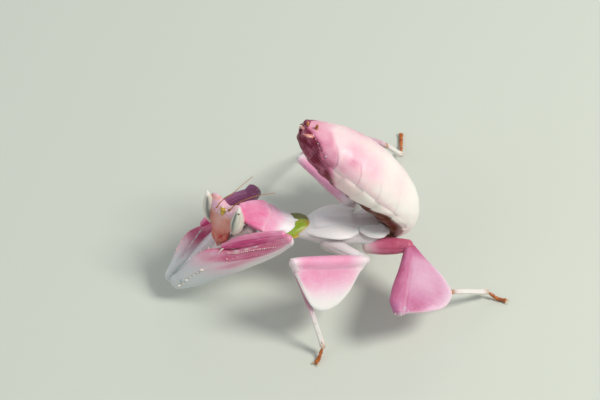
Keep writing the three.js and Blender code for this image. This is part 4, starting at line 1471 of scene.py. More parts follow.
@dataclass
class Head(Part):
    """The head: its capsule, eyes, ocelli, mouthparts and feelers, on axes of its own.

    Attributes:
        centre: origin of its axes.
        across: direction toward its left eye.
        up: direction toward its crown.
        out: direction out of its face.
    """

    centre: Point = (-15.34, 0.38, 12.37)
    across: Point = (0.662, -0.745, 0.091)
    up: Point = (0.144, 0.246, 0.958)
    out: Point = (-0.736, -0.621, 0.27)
    feeler_girth: tuple[float, float] = (0.085, 0.035)
    feeler_beads: int = 64

    def at(self, x: float, y: float, z: float) -> Point:
        """A point given on the head's own axes."""
        place = vec(*self.centre) + vec(*self.across) * x + vec(*self.up) * y + vec(*self.out) * z
        return tuple(float(c) for c in place)

    def on_axes(self, points: np.ndarray) -> tuple[np.ndarray, np.ndarray, np.ndarray]:
        """The head's own three coordinates of points."""
        away = points - vec(*self.centre)
        return away @ vec(*self.across), away @ vec(*self.up), away @ vec(*self.out)

    def build(self) -> None:
        """Makes the head's pieces."""
        self.build_capsule()
        self.build_eyes()
        self.build_ocelli()
        self.build_mouth()
        self.build_feelers()

    def face_relief(self, grid: Grid) -> np.ndarray:
        """Works out the face's brow shield, clypeus, furrows and sockets, and the crown's folds.

        Args:
            grid: the capsule's skin.

        Returns:
            The height at each point, in millimetres.
        """
        x, y, z = self.on_axes(grid.points)
        front = smooth(z, -0.75, -0.3)
        shield = smooth(
            1.05 - np.abs(x) - 0.35 * np.abs(y + 0.95), 0.0, 0.1
        ) * smooth(0.62 - np.abs(y + 0.95), 0, 0.12)
        clypeus = smooth(0.95 - np.abs(x) + 0.3 * (y + 2.3), 0, 0.12)
        clypeus *= smooth(0.48 - np.abs(y + 2.3), 0, 0.1)
        brow = swell(y + 0.28 * x**2, -0.12, 0.1) * smooth(1.5 - np.abs(x), 0, 0.4)
        cheek = swell(np.abs(x), 1.25 + 0.1 * y, 0.07) * smooth(-y, 0.3, 1.0)
        mouth_line = swell(y - 0.12 * x**2, -1.78, 0.05) + swell(y, -2.82, 0.05)
        sockets = sum(swell(np.hypot(x - sx, y - sy), 0.26, 0.09) for sx, sy in ((0.9, 0.45), (-0.98, -0.15)))
        crown = swell(
            np.abs(x), 0.42, 0.05
        ) * smooth(y, 0.5, 0.8) + swell(np.abs(x), 1.15, 0.06) * smooth(y, 0.55, 0.9)
        height = front * (0.07 * shield + 0.05 * clypeus + 0.05 * brow - 0.05 * cheek - 0.03 * mouth_line)
        return height + 0.08 * sockets * front - 0.07 * crown

    def build_capsule(self) -> None:
        """Makes the skin of the head."""
        rows = [
            (0, 1.5, 1.2, 0.35, 0.45), (0.12, 1.52, 1.9, 0.6, 0.8), (0.28, 1.3, 2.6, 0.75, 1.0),
            (0.4, 0.97, 3.4, 0.8, 1.1), (0.5, 0.85, 3.75, 0.82, 1.15), (0.6, 0.95, 3.4, 0.8, 1.1),
            (0.72, 1.25, 2.6, 0.75, 1.0), (0.88, 1.55, 1.9, 0.6, 0.8), (1, 1.3, 1.2, 0.35, 0.45)
        ]
        path = [self.at(-2.15, -0.25, -0.65), self.at(0, -0.25, -0.7), self.at(2.15, -0.25, -0.65)]
        side = vec(*self.up) - 0.22 * vec(*self.out)
        grid = Loft(path, rows, side, sides=200, steps=150, ends=(0.45, 0.2)).grid()
        grid = grid.raised(self.face_relief(grid))
        x, y, z = self.on_axes(grid.points)
        front = smooth(z, -1.0, -0.5)
        mouth = swell(y, -3.3, 0.6) * swell(x, 0.75, 0.6) * front
        face = smooth(-y, -0.3, 0.9)
        cheek = swell(x, 1.75, 0.4) * swell(y, -1.9, 0.8)
        flush = 0.52 * face + 0.2 * smooth(-y, 0.8, 3.0) + 0.4 * mouth + 0.14 * swell(
            np.abs(x), 1.45, 0.25
        ) * face
        # painted highlight in the middle of the face
        clear = swell(x, -0.1, 0.45) * swell(y, -1.5, 0.8) * front
        flush -= 0.1 * swell(x, 0.0, 0.7) * swell(y, -1.0, 0.7) * front
        crown = smooth(y, -0.1, 0.55)
        rim = swell(y - 0.12 * x, 1.16, 0.15) * smooth(-x, 0.3, 1.6)
        flush = np.clip(flush, 0.0, 1.0) * (1 - crown) + crown * (0.05 + 0.28 * rim)
        # the second part is painted shade on the lower right side of the face
        stain = 0.25 * swell(y, -4.0, 0.4) + 0.3 * smooth(-x, 0.4, 1.7) * smooth(-y, 0.0, 1.2)
        masks = {
            Mask.FLUSH: flush, Mask.STAIN: stain,
            Mask.PALE: 0.3 * cheek + 0.2 * crown * (x > 0) + 0.18 * clear
        }
        self.shop.skin("head_capsule", grid, Finish.FACE, "head", masks=masks)

    def build_eyes(self) -> None:
        """Makes the two pointed compound eyes."""
        near = [
            (0, 0.34, 0.36, 0.45, 0.4), (0.2, 0.68, 0.72, 0.85, 0.7), (0.45, 0.76, 0.82, 0.95, 0.8),
            (0.7, 0.58, 0.62, 0.74, 0.62), (0.88, 0.32, 0.34, 0.4, 0.36), (1, 0.13, 0.13, 0.15, 0.15)
        ]
        far = [
            (0, 0.3, 0.3, 0.4, 0.45), (0.2, 0.56, 0.56, 0.7, 0.85), (0.45, 0.66, 0.66, 0.8, 0.95),
            (0.7, 0.55, 0.55, 0.62, 0.74), (0.88, 0.32, 0.32, 0.36, 0.4), (1, 0.13, 0.13, 0.15, 0.15)
        ]
        for side, rows, middle, spot in ((Side.LEFT, near, -0.05, 0.68), (Side.RIGHT, far, 0.6, -2.0)):
            hand = -side.value
            path = [
                self.at(1.85 * hand, -2.35, -0.7), self.at(2.2 * hand, -0.4, -0.42),
                self.at(2.46 * hand, 1.55, -0.1)
            ]
            grid = Loft(path, rows, self.across, sides=96, steps=110, ends=(0.22, 0.16)).grid()
            share, over = grid.share, grid.over
            front = smooth(-grid.rise, -0.1, 0.5)
            ends = smooth(share, 0.04, 0.3) * (1 - smooth(share, 0.8, 0.97))
            streak = swell(over, middle, 0.3) * front * ends
            pupil = np.hypot((share - 0.864) * 4.4, (over - spot) * 0.34)
            masks = {
                Mask.STAIN: 0.95 * streak, Mask.PALE: smooth(share, 0.86, 0.97),
                Mask.FLUSH: (1 - smooth(pupil, 0.07, 0.12)) * front
            }
            self.shop.skin(f"eye_{side.word}_cornea", grid, Finish.EYE, f"eye_{side.word}", masks=masks)

    def build_ocelli(self) -> None:
        """Makes the golden tubercle with its three simple eyes and two pale horns."""
        path = [self.at(0.15, -0.1, -0.5), self.at(0.25, 0.3, -0.02), self.at(0.3, 0.5, 0.12)]
        crest = tube(path, (0.46, 0.42, 0.28), side=self.across, sides=48, steps=30, ends=(0.1, 0.18))
        self.shop.skin("ocellar_tubercle", crest, Finish.OCELLUS, "ocellar_crest")
        for i, (x, y, z) in enumerate(((0.02, 0.55, 0.14), (0.58, 0.5, 0.12), (0.28, 0.1, 0.26))):
            lens = tube(
                [self.at(0.3 + (x - 0.3) * 0.5, y - 0.2, z - 0.15), self.at(x, y, z)], (0.2, 0.16), steps=10
            )
            self.shop.skin(f"ocellus_{i + 1}", lens, Finish.OCELLUS)
        horns = {
            "right": ((-0.02, 0.1, 0.0), (-0.14, 0.0, 0.18), (-0.22, -0.02, 0.32)),
            "top": ((0.2, 0.5, -0.1), (0.18, 0.78, 0.06), (0.16, 1.0, 0.16)),
            "left": ((0.5, 0.4, -0.1), (0.66, 0.52, 0.08), (0.74, 0.64, 0.2))
        }
        for name, points in horns.items():
            horn = tube([self.at(*point) for point in points], (0.16, 0.13, 0.05), sides=20, steps=16)
            self.shop.skin(f"ocellar_horn_{name}", horn, Finish.SPINE)

    def build_mouth(self) -> None:
        """Makes the labrum, mandibles and palps."""
        path = [self.at(0, -2.95, -0.12), self.at(0, -3.55, 0.02), self.at(0, -4.05, 0.05)]
        rows = [(0, 0.78, 0.78, 0.24, 0.3), (0.5, 0.7, 0.7, 0.28, 0.32), (1, 0.42, 0.42, 0.18, 0.2)]
        grid = Loft(path, rows, self.across, sides=36, steps=24, ends=(0.08, 0.16)).grid()
        masks = {Mask.FLUSH: 0.72 + 0 * grid.share, Mask.STAIN: 0.15 * smooth(grid.share, 0.6, 1.0)}
        self.shop.skin("labrum", grid, Finish.FACE, "mouthparts", masks=masks)
        for side in Side:
            hand = -side.value
            path = [
                self.at(0.85 * hand, -2.7, -0.35), self.at(0.72 * hand, -3.4, -0.12),
                self.at(0.25 * hand, -4.1, -0.05)
            ]
            grid = tube(path, (0.42, 0.4, 0.18), steps=24)
            masks = {Mask.FLUSH: 0.8 + 0 * grid.share, Mask.STAIN: 0.3 * smooth(grid.share, 0.55, 1.0)}
            self.shop.skin(f"mandible_{side.word}", grid, Finish.FACE, masks=masks)
            palps = {
                "maxillary": (
                    (1.0, -2.6, -0.55), (1.08, -3.3, -0.2), (0.78, -3.9, -0.05), (0.4, -4.3, -0.05)
                ),
                "labial": ((0.5, -3.3, -0.75), (0.55, -3.95, -0.55), (0.3, -4.4, -0.25), (0.15, -4.5, -0.05))
            }
            for kind, points in palps.items():
                share = np.linspace(0, 1, 16)
                line = Line([self.at(x * hand, y, z) for x, y, z in points]).at(share)[0]
                self.shop.thread_beads(
                    f"{kind}_palp_{side.word}", Finish.PALP, line, 0.13 - 0.03 * share, 5, 0.26
                )

    def build_feelers(self) -> None:
        """Makes the two ringed antennae, each with a thicker first joint."""
        bends = {
            Side.LEFT: (
                self.at(0.9, 0.5, -0.3),
                ((-13.55, -0.95, 14.95), (-12.1, -1.35, 16.1), (-10.9, -1.8, 16.85), (-9.4, -2.3, 17.5))
            ),
            Side.RIGHT: (
                self.at(-0.98, -0.1, -0.15),
                ((-15.2, 0.25, 14.4), (-13.9, 0.15, 15.6), (-13.1, 0.25, 16.35), (-11.6, 0.75, 17.3))
            )
        }
        thick, thin = self.feeler_girth
        for side, (socket, rest) in bends.items():
            line = Line([socket, *rest])
            share = np.linspace(0, 1, 60)
            girth = thin + (thick - thin) * (1 - share) ** 1.3 + 0.07 * (1 - smooth(share, 0.03, 0.07))
            name, beads = f"antenna_{side.word}", self.feeler_beads
            sizes = girth, beads, line.length / beads * 0.62
            self.shop.thread_beads(f"{name}_rings", Finish.FEELER, line.at(share)[0], *sizes, name)


@dataclass
class Foreleg(Part):
    """A folded raptorial foreleg.

    Attributes:
        side: which side it is on.
        shoulder: where its coxa meets the thorax.
        coxa_end: the far end of the coxa.
        trochanter: the near end of the femur's line.
        knee: the far end of the femur's line.
        spined: direction toward the femur's spined edge.
    """

    side: Side
    shoulder: Point
    coxa_end: Point
    trochanter: Point
    knee: Point
    spined: Point
    dorsal: float = 1.6
    ventral: float = 2.5
    half_thickness: float = 0.62
    coxa_radius: float = 0.68
    denticles: int = 24

    def axes(self) -> tuple[np.ndarray, np.ndarray, np.ndarray]:
        """Works out the femur's axes.

        Returns:
            The femur's line, the direction to its spined edge and the direction across its faces.
        """
        line = vec(*self.knee) - vec(*self.trochanter)
        spined = unit(vec(*self.spined) - (vec(*self.spined) @ line) / (line @ line) * line)
        return line, spined, np.cross(unit(line), spined)

    def at(self, share: float, out: float, over: float = 0.0) -> Point:
        """Finds a point on the leg.

        Args:
            share: how far along the femur it is.
            out: how far it is out toward the femur's spined edge.
            over: how far it is across the femur's faces.

        Returns:
            The point, on the animal's axes.
        """
        line, spined, across = self.axes()
        place = vec(*self.trochanter) + line * share + spined * out + across * over
        return tuple(float(c) for c in place)

    def outward(self) -> float:
        """Which way across the femur its outer face lies."""
        return 1.0 if self.side is Side.LEFT else -1.0

    def build(self) -> None:
        """Makes the leg's pieces."""
        self.build_femur()
        self.build_tibia()
        self.build_tarsus()
        self.build_coxa()
        self.build_spines()

    def build_femur(self) -> None:
        """Makes the broad femur, with its groove and the ridges that run along its faces."""
        t, d, v = self.half_thickness, self.dorsal, self.ventral
        rows = [
            (0, 1.0, 1.05, t * 0.75, t * 0.75), (0.08, 1.4, 1.35, t * 0.95, t * 0.95), (0.22, 2.2, 1.5, t, t),
            (0.35, v, d, t * 1.05, t * 1.05), (0.44, 2.1, d, t * 1.05, t * 1.05),
            (0.54, 1.35, d, t * 1.05, t * 1.05), (0.7, 1.1, 1.55, t, t),
            (0.86, 0.95, 1.4, t * 0.95, t * 0.95),
            (1, 0.65 if self.side is Side.LEFT else 1.05, 0.95, t * 0.85, t * 0.85)
        ]
        path = [self.at(-0.06, 0), self.at(0.5, 0), self.at(1.02, 0)]
        _, spined, _ = self.axes()
        grid = Loft(path, rows, spined, sides=140, steps=200, ends=(0.95, 0.55)).grid()
        share, over = grid.share, grid.over
        groove = over - level(
            ((0, 0.5), (0.35, 0.3), (0.505, 0.14), (0.64, -0.16), (0.79, -0.41), (1, -0.5)), share
        )
        crest = over - level(((0, 0.9), (0.5, 0.9), (0.7, 0.72), (0.9, 0.6), (1, 0.5)), share)
        along = smooth(share, 0.1, 0.3) * (1 - smooth(share, 0.9, 1.0))
        late = smooth(share, 0.42, 0.52) * (1 - smooth(share, 0.88, 0.96))
        scallops = 0.55 + 0.45 * np.cos(share * 2 * np.pi * 12)
        ridge = 0.05 * swell(groove, 0.14, 0.08) + 0.04 * swell(groove, -0.16, 0.08)
        furrow = -0.1 * swell(groove, 0, 0.035) * late - 0.04 * swell(over, 0.12, 0.03) * (1 - late)
        fold = 0.04 * swell(over, 0.45 - 1.1 * share, 0.06) * (1 - smooth(share, 0.3, 0.5))
        comb = 0.09 * swell(crest, 0, 0.1) * scallops * late
        grid = grid.raised((ridge + furrow) * along + fold + comb + 0.03 * swell(over, -0.93, 0.05))
        knee = smooth(share + 0.1 * over, 0.14, 0.58)
        edge = smooth(-over, 0.15, 1.0)
        fan = 0.14 * np.cos((over - 1.1) / (share + 0.12) * 5.5) * swell(share, 0.4, 0.14)
        flush = (0.58 + 0.24 * smooth(groove, -0.05, 0.15)) * knee * (1 - 0.85 * edge) + fan * knee
        flush += 0.16 * swell(groove, 0.0, 0.04) * smooth(share, 0.4, 0.55)
        flush -= 0.12 * smooth(share, 0.93, 1.0)
        far = 1.0 if self.side is Side.RIGHT else 0.0
        outer = smooth(grid.rise, -0.2, 0.4)
        # painted shade: the far femur is darker toward its knee, and part of the deeper pink in its middle is
        # painted shade too
        stain = far * (0.75 * smooth(share, 0.6, 0.9) + 0.14 * swell(over, 0.1, 0.1) * (1 - knee))
        flush = np.maximum(flush, far * 0.95 * swell(share, 0.42, 0.13) * smooth(over, -0.1, 0.5))
        # painted highlight: pale scallops along the comb on the spined edge
        scallops = 0.1 + 0.9 * (0.5 + 0.5 * np.cos(share * 2 * np.pi * 12)) ** 1.5
        comb = swell(crest, 0.0, 0.08) * scallops * smooth(share, 0.5, 0.56)
        comb *= 1 - smooth(share, 0.72, 0.82)
        teeth = ((0, 0.9), (0.52, 0.74), (0.6, 0.58), (0.685, 0.46), (0.8, 0.17), (0.895, -0.19), (1, -0.3))
        # painted shadow: a dark line beside the row of fine teeth
        shade = 0.22 * swell(over - level(teeth, share), 0.0, 0.05) * smooth(share, 0.48, 0.54)
        shade *= 1 - smooth(share, 0.88, 0.92)
        masks = {
            Mask.FLUSH: flush, Mask.STAIN: np.clip(stain + shade * (1 - far), 0, 1),
            Mask.PALE: np.maximum(0.8 * edge * smooth(share, 0.35, 0.7), 0.75 * comb) * (1 - far),
            Mask.GRAIN: outer * (0.6 * swell(over, -0.1, 0.5) * knee + 0.12)
        }
        self.build_teeth(grid)
        name = f"fore_femur_{self.side.word}"
        skin = self.shop.skin(f"{name}_blade", grid, Finish.RAPTORIAL, name, masks=masks)
        # the pearly granules here also stand for dew-like glints
        self.shop.scatter(f"{name}_granules", skin, 2.2, 0.045)

    def build_tibia(self) -> None:
        """Makes the tibia that shuts along the femur's spined edge, ending in its long claw."""
        rows = [
            (0, 0.55, 0.55, 0.5, 0.5), (0.3, 0.82, 0.7, 0.5, 0.5), (0.65, 0.82, 0.75, 0.46, 0.46),
            (1, 0.4, 0.4, 0.34, 0.34)
        ]
        left = self.side is Side.LEFT
        end = 2.05 if left else 1.85
        start = self.at(1.0, 0.75) if left else self.at(0.94, 0.66)
        path = [start, self.at(0.8, 1.3), self.at(0.62, end - 0.25), self.at(0.48, end)]
        _, spined, _ = self.axes()
        grid = Loft(path, rows, spined, sides=80, steps=110, ends=(0.4, 0.35)).grid()
        share, over = grid.share, grid.over
        along = smooth(share, 0.05, 0.2) * (1 - smooth(share, 0.85, 1.0))
        ridges = swell(over, 0.55, 0.09) + swell(over, 0.05, 0.08) + swell(over, -0.5, 0.09)
        grid = grid.raised(0.06 * ridges * along - 0.04 * swell(over, 0.3, 0.1) * along)
        deep = smooth(0.35 - over, -0.1, 0.25)
        flush = 0.5 + 0.14 * smooth(share, 0.0, 0.3) + deep * (0.1 + 0.34 * smooth(share, 0.1, 0.6))
        flush += 0.2 * swell(over, 0.3, 0.06)
        # painted shade on the far tibia, toward its knee
        far = (0.0 if left else 0.8) * (1 - smooth(share, 0.3, 0.75))
        masks = {
            Mask.FLUSH: flush, Mask.STAIN: far + 0.22 * swell(over, 0.3, 0.035) * smooth(share, 0.05, 0.2),
            Mask.PALE: 0.14 * smooth(over, 0.8, 1.0)
        }
        name = f"fore_tibia_{self.side.word}"
        self.shop.skin(f"{name}_shaft", grid, Finish.GRASP, name, masks=masks)
        lean = self.outward()
        path = [
            self.at(0.49, end - 0.1, 0.1 * lean), self.at(0.45, end - 0.2, 0.4 * lean),
            self.at(0.42, 1.7, 0.6 * lean)
        ]
        self.shop.skin(f"{name}_claw", tube(path, (0.14, 0.09, 0.03), sides=20, steps=26), Finish.SPINE)

    def build_tarsus(self) -> None:
        """Makes the thin jointed foot that lies folded along the inner face."""
        inward = -self.outward()
        path = [
            self.at(0.42, 1.75, 0.72 * inward), self.at(0.28, 1.6, 0.98 * inward),
            self.at(0.14, 1.3, 0.98 * inward)
        ]
        line, share = Line(path), np.linspace(0, 1, 30)
        name, girth = f"fore_tarsus_{self.side.word}", 0.12 - 0.05 * share
        sizes = girth, 6, line.length / 9
        self.shop.thread_beads(f"{name}_joints", Finish.FORE_FOOT, line.at(share)[0], *sizes, name)

    def build_coxa(self) -> None:
        """Makes the coxa, which runs from the thorax down to the femur's near end."""
        r = self.coxa_radius
        middle = (vec(*self.shoulder) + vec(*self.coxa_end)) / 2 + vec(-0.1, 0, 0.1)
        end = vec(*self.coxa_end) * 0.96 + vec(*self.trochanter) * 0.04
        grid = tube([self.shoulder, middle, end], (r * 1.25, r * 1.15, r * 0.9), sides=56, steps=80)
        share, over = grid.share, grid.over
        grid = grid.raised(0.05 * (swell(over, 0.0, 0.12) + swell(over, 0.8, 0.1)) * smooth(share, 0.1, 0.3))
        stain = 0.4 * (1 - smooth(share, 0.1, 0.5))
        masks = {Mask.FLUSH: 0.2 * swell(share, 0.35, 0.2) + 0.05, Mask.STAIN: stain}
        name = f"fore_coxa_{self.side.word}"
        self.shop.skin(f"{name}_stem", grid, Finish.THORAX, name, masks=masks)
        path = [self.coxa_end, self.trochanter, self.at(0.04, 0.1)]
        joint = tube(path, (r * 0.85, r * 1.0, r * 0.8), sides=40, steps=24)
        self.shop.skin(f"fore_trochanter_{self.side.word}", joint, Finish.RAPTORIAL)

    def build_teeth(self, grid: Grid) -> None:
        """Makes the rows of spines and teeth on the femur's outer face.

        Args:
            grid: the femur's skin, whose outer face carries them.
        """
        _, spined, _ = self.axes()
        rows = {
            # the bright spines are spines that also stand for dew-like glints
            "bright_spines": (((0.02, -0.33), (0.09, -0.07), (0.155, 0.11), (0.26, 0.2)), 7, 0.36, 0.24, 0.5),
            "fine_teeth": (
                ((0.52, 0.82), (0.6, 0.66), (0.685, 0.54), (0.8, 0.25), (0.895, -0.11)), 23, 0.2, 0.14, 0.1
            ),
            "large_teeth": (((0.49, 0.375), (0.53, 0.34), (0.575, 0.31)), 3, 0.16, 0.12, 0.5)
        }
        for name, (marks, count, length, width, toward) in rows.items():
            roots, out = grid.spots(marks, self.outward(), count)
            tall = 0.75 + 0.25 * np.cos(np.arange(count) * 2.1)
            piece = f"fore_femur_{self.side.word}_{name}"
            self.shop.set_spines(piece, roots, tall, unit(out + spined * toward), length, width)

    def build_spines(self) -> None:
        """Makes the spines along the femur's and tibia's edges, which mesh as the leg shuts."""
        line, spined, across = self.axes()
        name, out = self.side.word, self.outward()
        edge = np.linspace(0.1, 0.42, 9)
        reach = level([(0.08, 1.4), (0.22, 2.2), (0.35, 2.5), (0.44, 2.1)], (edge + 0.06) / 1.08)
        roots = [self.at(s, r - 0.12, 0) for s, r in zip(edge, reach)]
        lean = [unit(spined + 0.5 * unit(line) - 0.3 * across * out)] * len(roots)
        tall = 0.7 + 0.3 * np.sin(edge * 60)
        self.shop.set_spines(f"fore_femur_{name}_edge_spines", roots, tall, lean, 0.34, 0.14)
        teeth = np.linspace(0.5, 0.95, 12)
        roots = [self.at(s, 1.02 - 0.75 * (s - 0.5), -0.5) for s in teeth]
        lean = [unit(-spined * 0.35 - across)] * len(roots)
        tall = [1.0] * len(roots)
        self.shop.set_spines(f"fore_tibia_{name}_denticles", roots, tall, lean, 0.15, 0.12, self.denticles)
        roots = [self.at(1.0, -0.55, 0.2 * out), self.at(1.03, -0.25, 0.3 * out)]
        lean = [unit(unit(line) - 0.6 * spined)] * 2
        self.shop.set_spines(f"fore_knee_{name}_spurs", roots, [1.0, 0.6], lean, 0.2, 0.14)


class Lobe(Enum):
    """The two kinds of walking leg, by the petal lobe of the femur."""

    MID = "mid"
    HIND = "hind"


@dataclass
class WalkingLeg(Part):
    """A middle or hind leg with the petal lobe of its femur.

    Attributes:
        lobe: which kind of leg it is.
        side: which side it is on.
        hip, coxa_end, knee, ankle, foot: its joints and the tip of its foot.
        hang: the direction in which the lobe hangs from the femur.
        bow: how far the middle of the tibia bows out of line.
        reach: width of the lobe.
    """

    lobe: Lobe
    side: Side
    hip: Point
    coxa_end: Point
    knee: Point
    ankle: Point
    foot: Point
    hang: Point
    bow: Point
    reach: float
    stem: float = 0.62
    blade: float = 0.3
    shin: float = 0.34
    toe: float = 0.33
    foot_height: float = 0.26

    OUTLINES = {
        Lobe.MID: (
            (0, 0.1, 0.8), (0.09, 0.31, 0.95), (0.2, 0.63, 1.05), (0.34, 0.89, 1.1), (0.51, 1, 1.1),
            (0.68, 0.92, 1.05), (0.82, 0.64, 1), (0.93, 0.32, 0.9), (1, 0.12, 0.75)
        ),
        Lobe.HIND: (
            (0, 0.17, 0.65), (0.12, 0.41, 0.75), (0.25, 0.71, 0.95), (0.39, 0.91, 1.2), (0.5, 1, 1.5),
            (0.64, 0.97, 1.85), (0.77, 0.83, 2), (0.88, 0.54, 2), (1, 0.13, 1.2)
        )
    }

    def node(self, segment: str) -> str:
        """The name of one of the leg's CAD nodes."""
        return f"{self.lobe.value}_{segment}_{self.side.word}"

    def build(self) -> None:
        """Makes the leg's pieces."""
        self.build_femur()
        self.build_coxa()
        self.build_tibia()
        self.build_tarsus()

    def femur_rows(self) -> list[Row]:
        """Works out the femur's sections from the lobe's outline.

        Returns:
            The sizes of each.
        """
        rows = []
        for share, out, rear in self.OUTLINES[self.lobe]:
            half = self.stem * (0.85 + 0.2 * math.sin(math.pi * share))
            rows.append((share, max(out * self.reach, half), rear * self.stem, half, half))
        return rows

    def femur_masks(self, grid: Grid) -> dict[Mask, np.ndarray]:
        """Paints the pink of the lobe and its stem, a painted light at the mid lobe's knee end, and a painted
        shadow line and painted highlight along the hind lobe's fold.

        Args:
            grid: the femur's skin.

        Returns:
            What each mask says at each point.
        """
        share, out = grid.share, np.clip(grid.over, 0, 1)
        wide = np.maximum(level(self.OUTLINES[self.lobe], share) * self.reach, 0.6)
        depth = out * wide  # how far out on the lobe, in millimetres
        stem = 1 - smooth(depth, 0.5, 0.95)
        knee = smooth(share, 0.84, 1.0)
        if self.lobe is Lobe.MID:
            heart = smooth(share, -0.1, 0.34) * (1 - smooth(depth - 1.2 * (share - 0.5), 1.3, 5.2))
            lines = swell(depth, 0.62, 0.08) + swell(depth, 0.95, 0.08)
            flush = 0.06 + 0.64 * heart - 0.1 * lines * smooth(share, 0.1, 0.3)
            flush = flush * (1 - 0.3 * knee)
            # the last term paints the knee end paler: painted light over its shaded end
            pale = np.maximum(smooth(out, 0.66, 0.98) * 0.9, 0.2 * knee + 0.3 * smooth(share, 0.95, 1.0))
            pale = np.maximum(pale, 0.5 * (1 - smooth(share, 0.0, 0.2)))
            grain = smooth(share, 0.7, 0.9) * smooth(out, 0.1, 0.6)
            return {Mask.FLUSH: flush, Mask.PALE: pale, Mask.GRAIN: grain}
        flush = 0.5 + 0.28 * swell(share, 0.86, 0.17) * swell(depth, 1.9, 1.5)
        flush -= 0.14 * swell(share, 0.42, 0.22) * swell(depth, 2.4, 1.6) + 0.24 * smooth(out, 0.72, 1.0)
        flush = np.maximum(flush, stem * (0.74 + 0.1 * smooth(-grid.over, 0.0, 0.7) - 0.12 * knee))
        # painted shadow: a darker line beside the fold between stem and lobe
        flush += 0.12 * swell(depth, 0.8, 0.12) * smooth(share, 0.15, 0.4)
        flush = np.maximum(flush, 0.9 - 0.8 * smooth(share, 0.0, 0.35))
        # the second term is a painted highlight along the fold
        pale = 0.3 * smooth(out, 0.86, 1.0) + 0.14 * swell(depth, 0.5, 0.1) * smooth(share, 0.15, 0.4)
        stain = 0.3 * knee * smooth(-grid.over, -0.2, 0.8)
        return {Mask.FLUSH: flush, Mask.PALE: pale, Mask.GRAIN: 0.4 * knee, Mask.STAIN: stain}

    def build_femur(self) -> None:
        """Makes the femur: a stem that widens into a petal lobe."""
        middle = (vec(*self.coxa_end) + vec(*self.knee)) / 2
        mid = self.lobe is Lobe.MID
        cup, *shape = (-0.35, 1.9, 1.2) if mid else (0.3, 1.1, 0.5)
        section = PetalSection(self.blade, cup * self.side.value, *shape)
        path = [self.coxa_end, middle, self.knee]
        grid = Loft(path, self.femur_rows(), self.hang, 150, 150, (0.35, 0.35), section=section).grid()
        share, out = grid.share, np.clip(grid.over, 0, 1)
        fan = np.cos((share - 0.5) * (16 - 6 * out) * np.pi) ** 10
        veins = 0.022 * fan * smooth(out, 0.15, 0.35) * (1 - smooth(out, 0.8, 0.97))
        ridges = 0.03 * (swell(out, 0.11, 0.012) + swell(out, 0.165, 0.012)) * smooth(share, 0.15, 0.3)
        grid = grid.raised((veins + ridges * mid) * (1 - smooth(share, 0.85, 0.95)))
        finish = Finish.PETAL_MID if mid else Finish.PETAL_HIND
        node = self.node("femur")
        skin = self.shop.skin(f"{node}_petal", grid, finish, node, masks=self.femur_masks(grid))
        self.shop.scatter(f"{node}_granules", skin, 7.0, 0.05)
        reach = unit(vec(*self.hang))
        run = unit(vec(*self.knee) - vec(*self.coxa_end))
        roots = [vec(*self.knee) + reach * (i * 0.5 - 0.25) + run * 0.2 for i in range(2)]
        lean = [unit(run + reach * (i - 0.5)) for i in range(2)]
        self.shop.set_spines(self.node("knee") + "_spurs", roots, [0.8, 1.0], lean, 0.3, 0.13)

    def build_coxa(self) -> None:
        """Makes the coxa and the trochanter at its end."""
        hind = self.lobe is Lobe.HIND
        radii = (0.95, 1.08, 1.02, 0.8) if hind else (0.95, 0.85, 0.7, 0.6)
        grid = tube([self.hip, self.coxa_end], radii, sides=56, steps=60)
        share = grid.share
        furrow = -0.08 * swell(grid.over, 0.1, 0.14) * smooth(share, 0.1, 0.3)
        grid = grid.raised(furrow - 0.03 * swell(share, 0.8, 0.03))
        finish = Finish.COXA_PINK if hind else Finish.THORAX
        flush = 0.84 * smooth(share, -0.15, 0.5) if hind else 0.1 * share
        stain = 0.12 * smooth(share, 0.7, 1.0) + (0.0 if hind else 0.3) * (1 - smooth(share, 0.1, 0.9))
        masks = {Mask.FLUSH: flush, Mask.STAIN: stain}
        self.shop.skin(f"{self.node('coxa')}_stem", grid, finish, self.node("coxa"), masks=masks)

    def build_tibia(self) -> None:
        """Makes the tibia with its spines."""
        knee, ankle = vec(*self.knee), vec(*self.ankle)
        middle = (knee + ankle) / 2 + vec(*self.bow)
        r = self.shin
        path = [knee + (ankle - knee) * 0.005, middle, ankle]
        radii = (r * 1.55, r * 1.2, r * 1.05, r * 1.0, r * 0.92, r * 0.92, r * 0.95)
        grid = tube(path, radii, sides=36, steps=110)
        share = grid.share
        ridges = 0.035 * np.cos(4 * np.arctan2(grid.rise, grid.over)) * smooth(share, 0.05, 0.2)
        grid = grid.raised(ridges + 0.06 * swell(share, 0.97, 0.02))
        hind = self.lobe is Lobe.HIND
        flush = (0.5 if hind else 0.72) * (1 - smooth(share, 0.45, 0.75))
        flush *= 1.0 if hind else 0.3 + 0.7 * smooth(share, 0.06, 0.16)
        stain = 0.55 * smooth(share, 0.93, 1.0) + 0.85 * hind * swell(share, 0.6, 0.035)
        node = self.node("tibia")
        masks = {Mask.FLUSH: flush, Mask.STAIN: stain, Mask.GRAIN: 0.3 + 0 * flush}
        self.shop.skin(f"{node}_shaft", grid, Finish.SHANK, node, masks=masks)
        spots, runs = Line(path).at(np.linspace(0.3, 0.93, 7))
        for row, turn in (("outer", 1), ("inner", -1)):
            across = unit(np.cross(runs, vec(*self.hang))) * turn
            lean = unit(across + 0.9 * runs)
            roots, tall = spots + across * r * 0.7, [0.8] * 6 + [1.3]
            self.shop.set_spines(f"{node}_{row}_spurs", roots, tall, lean, 0.28, 0.11)

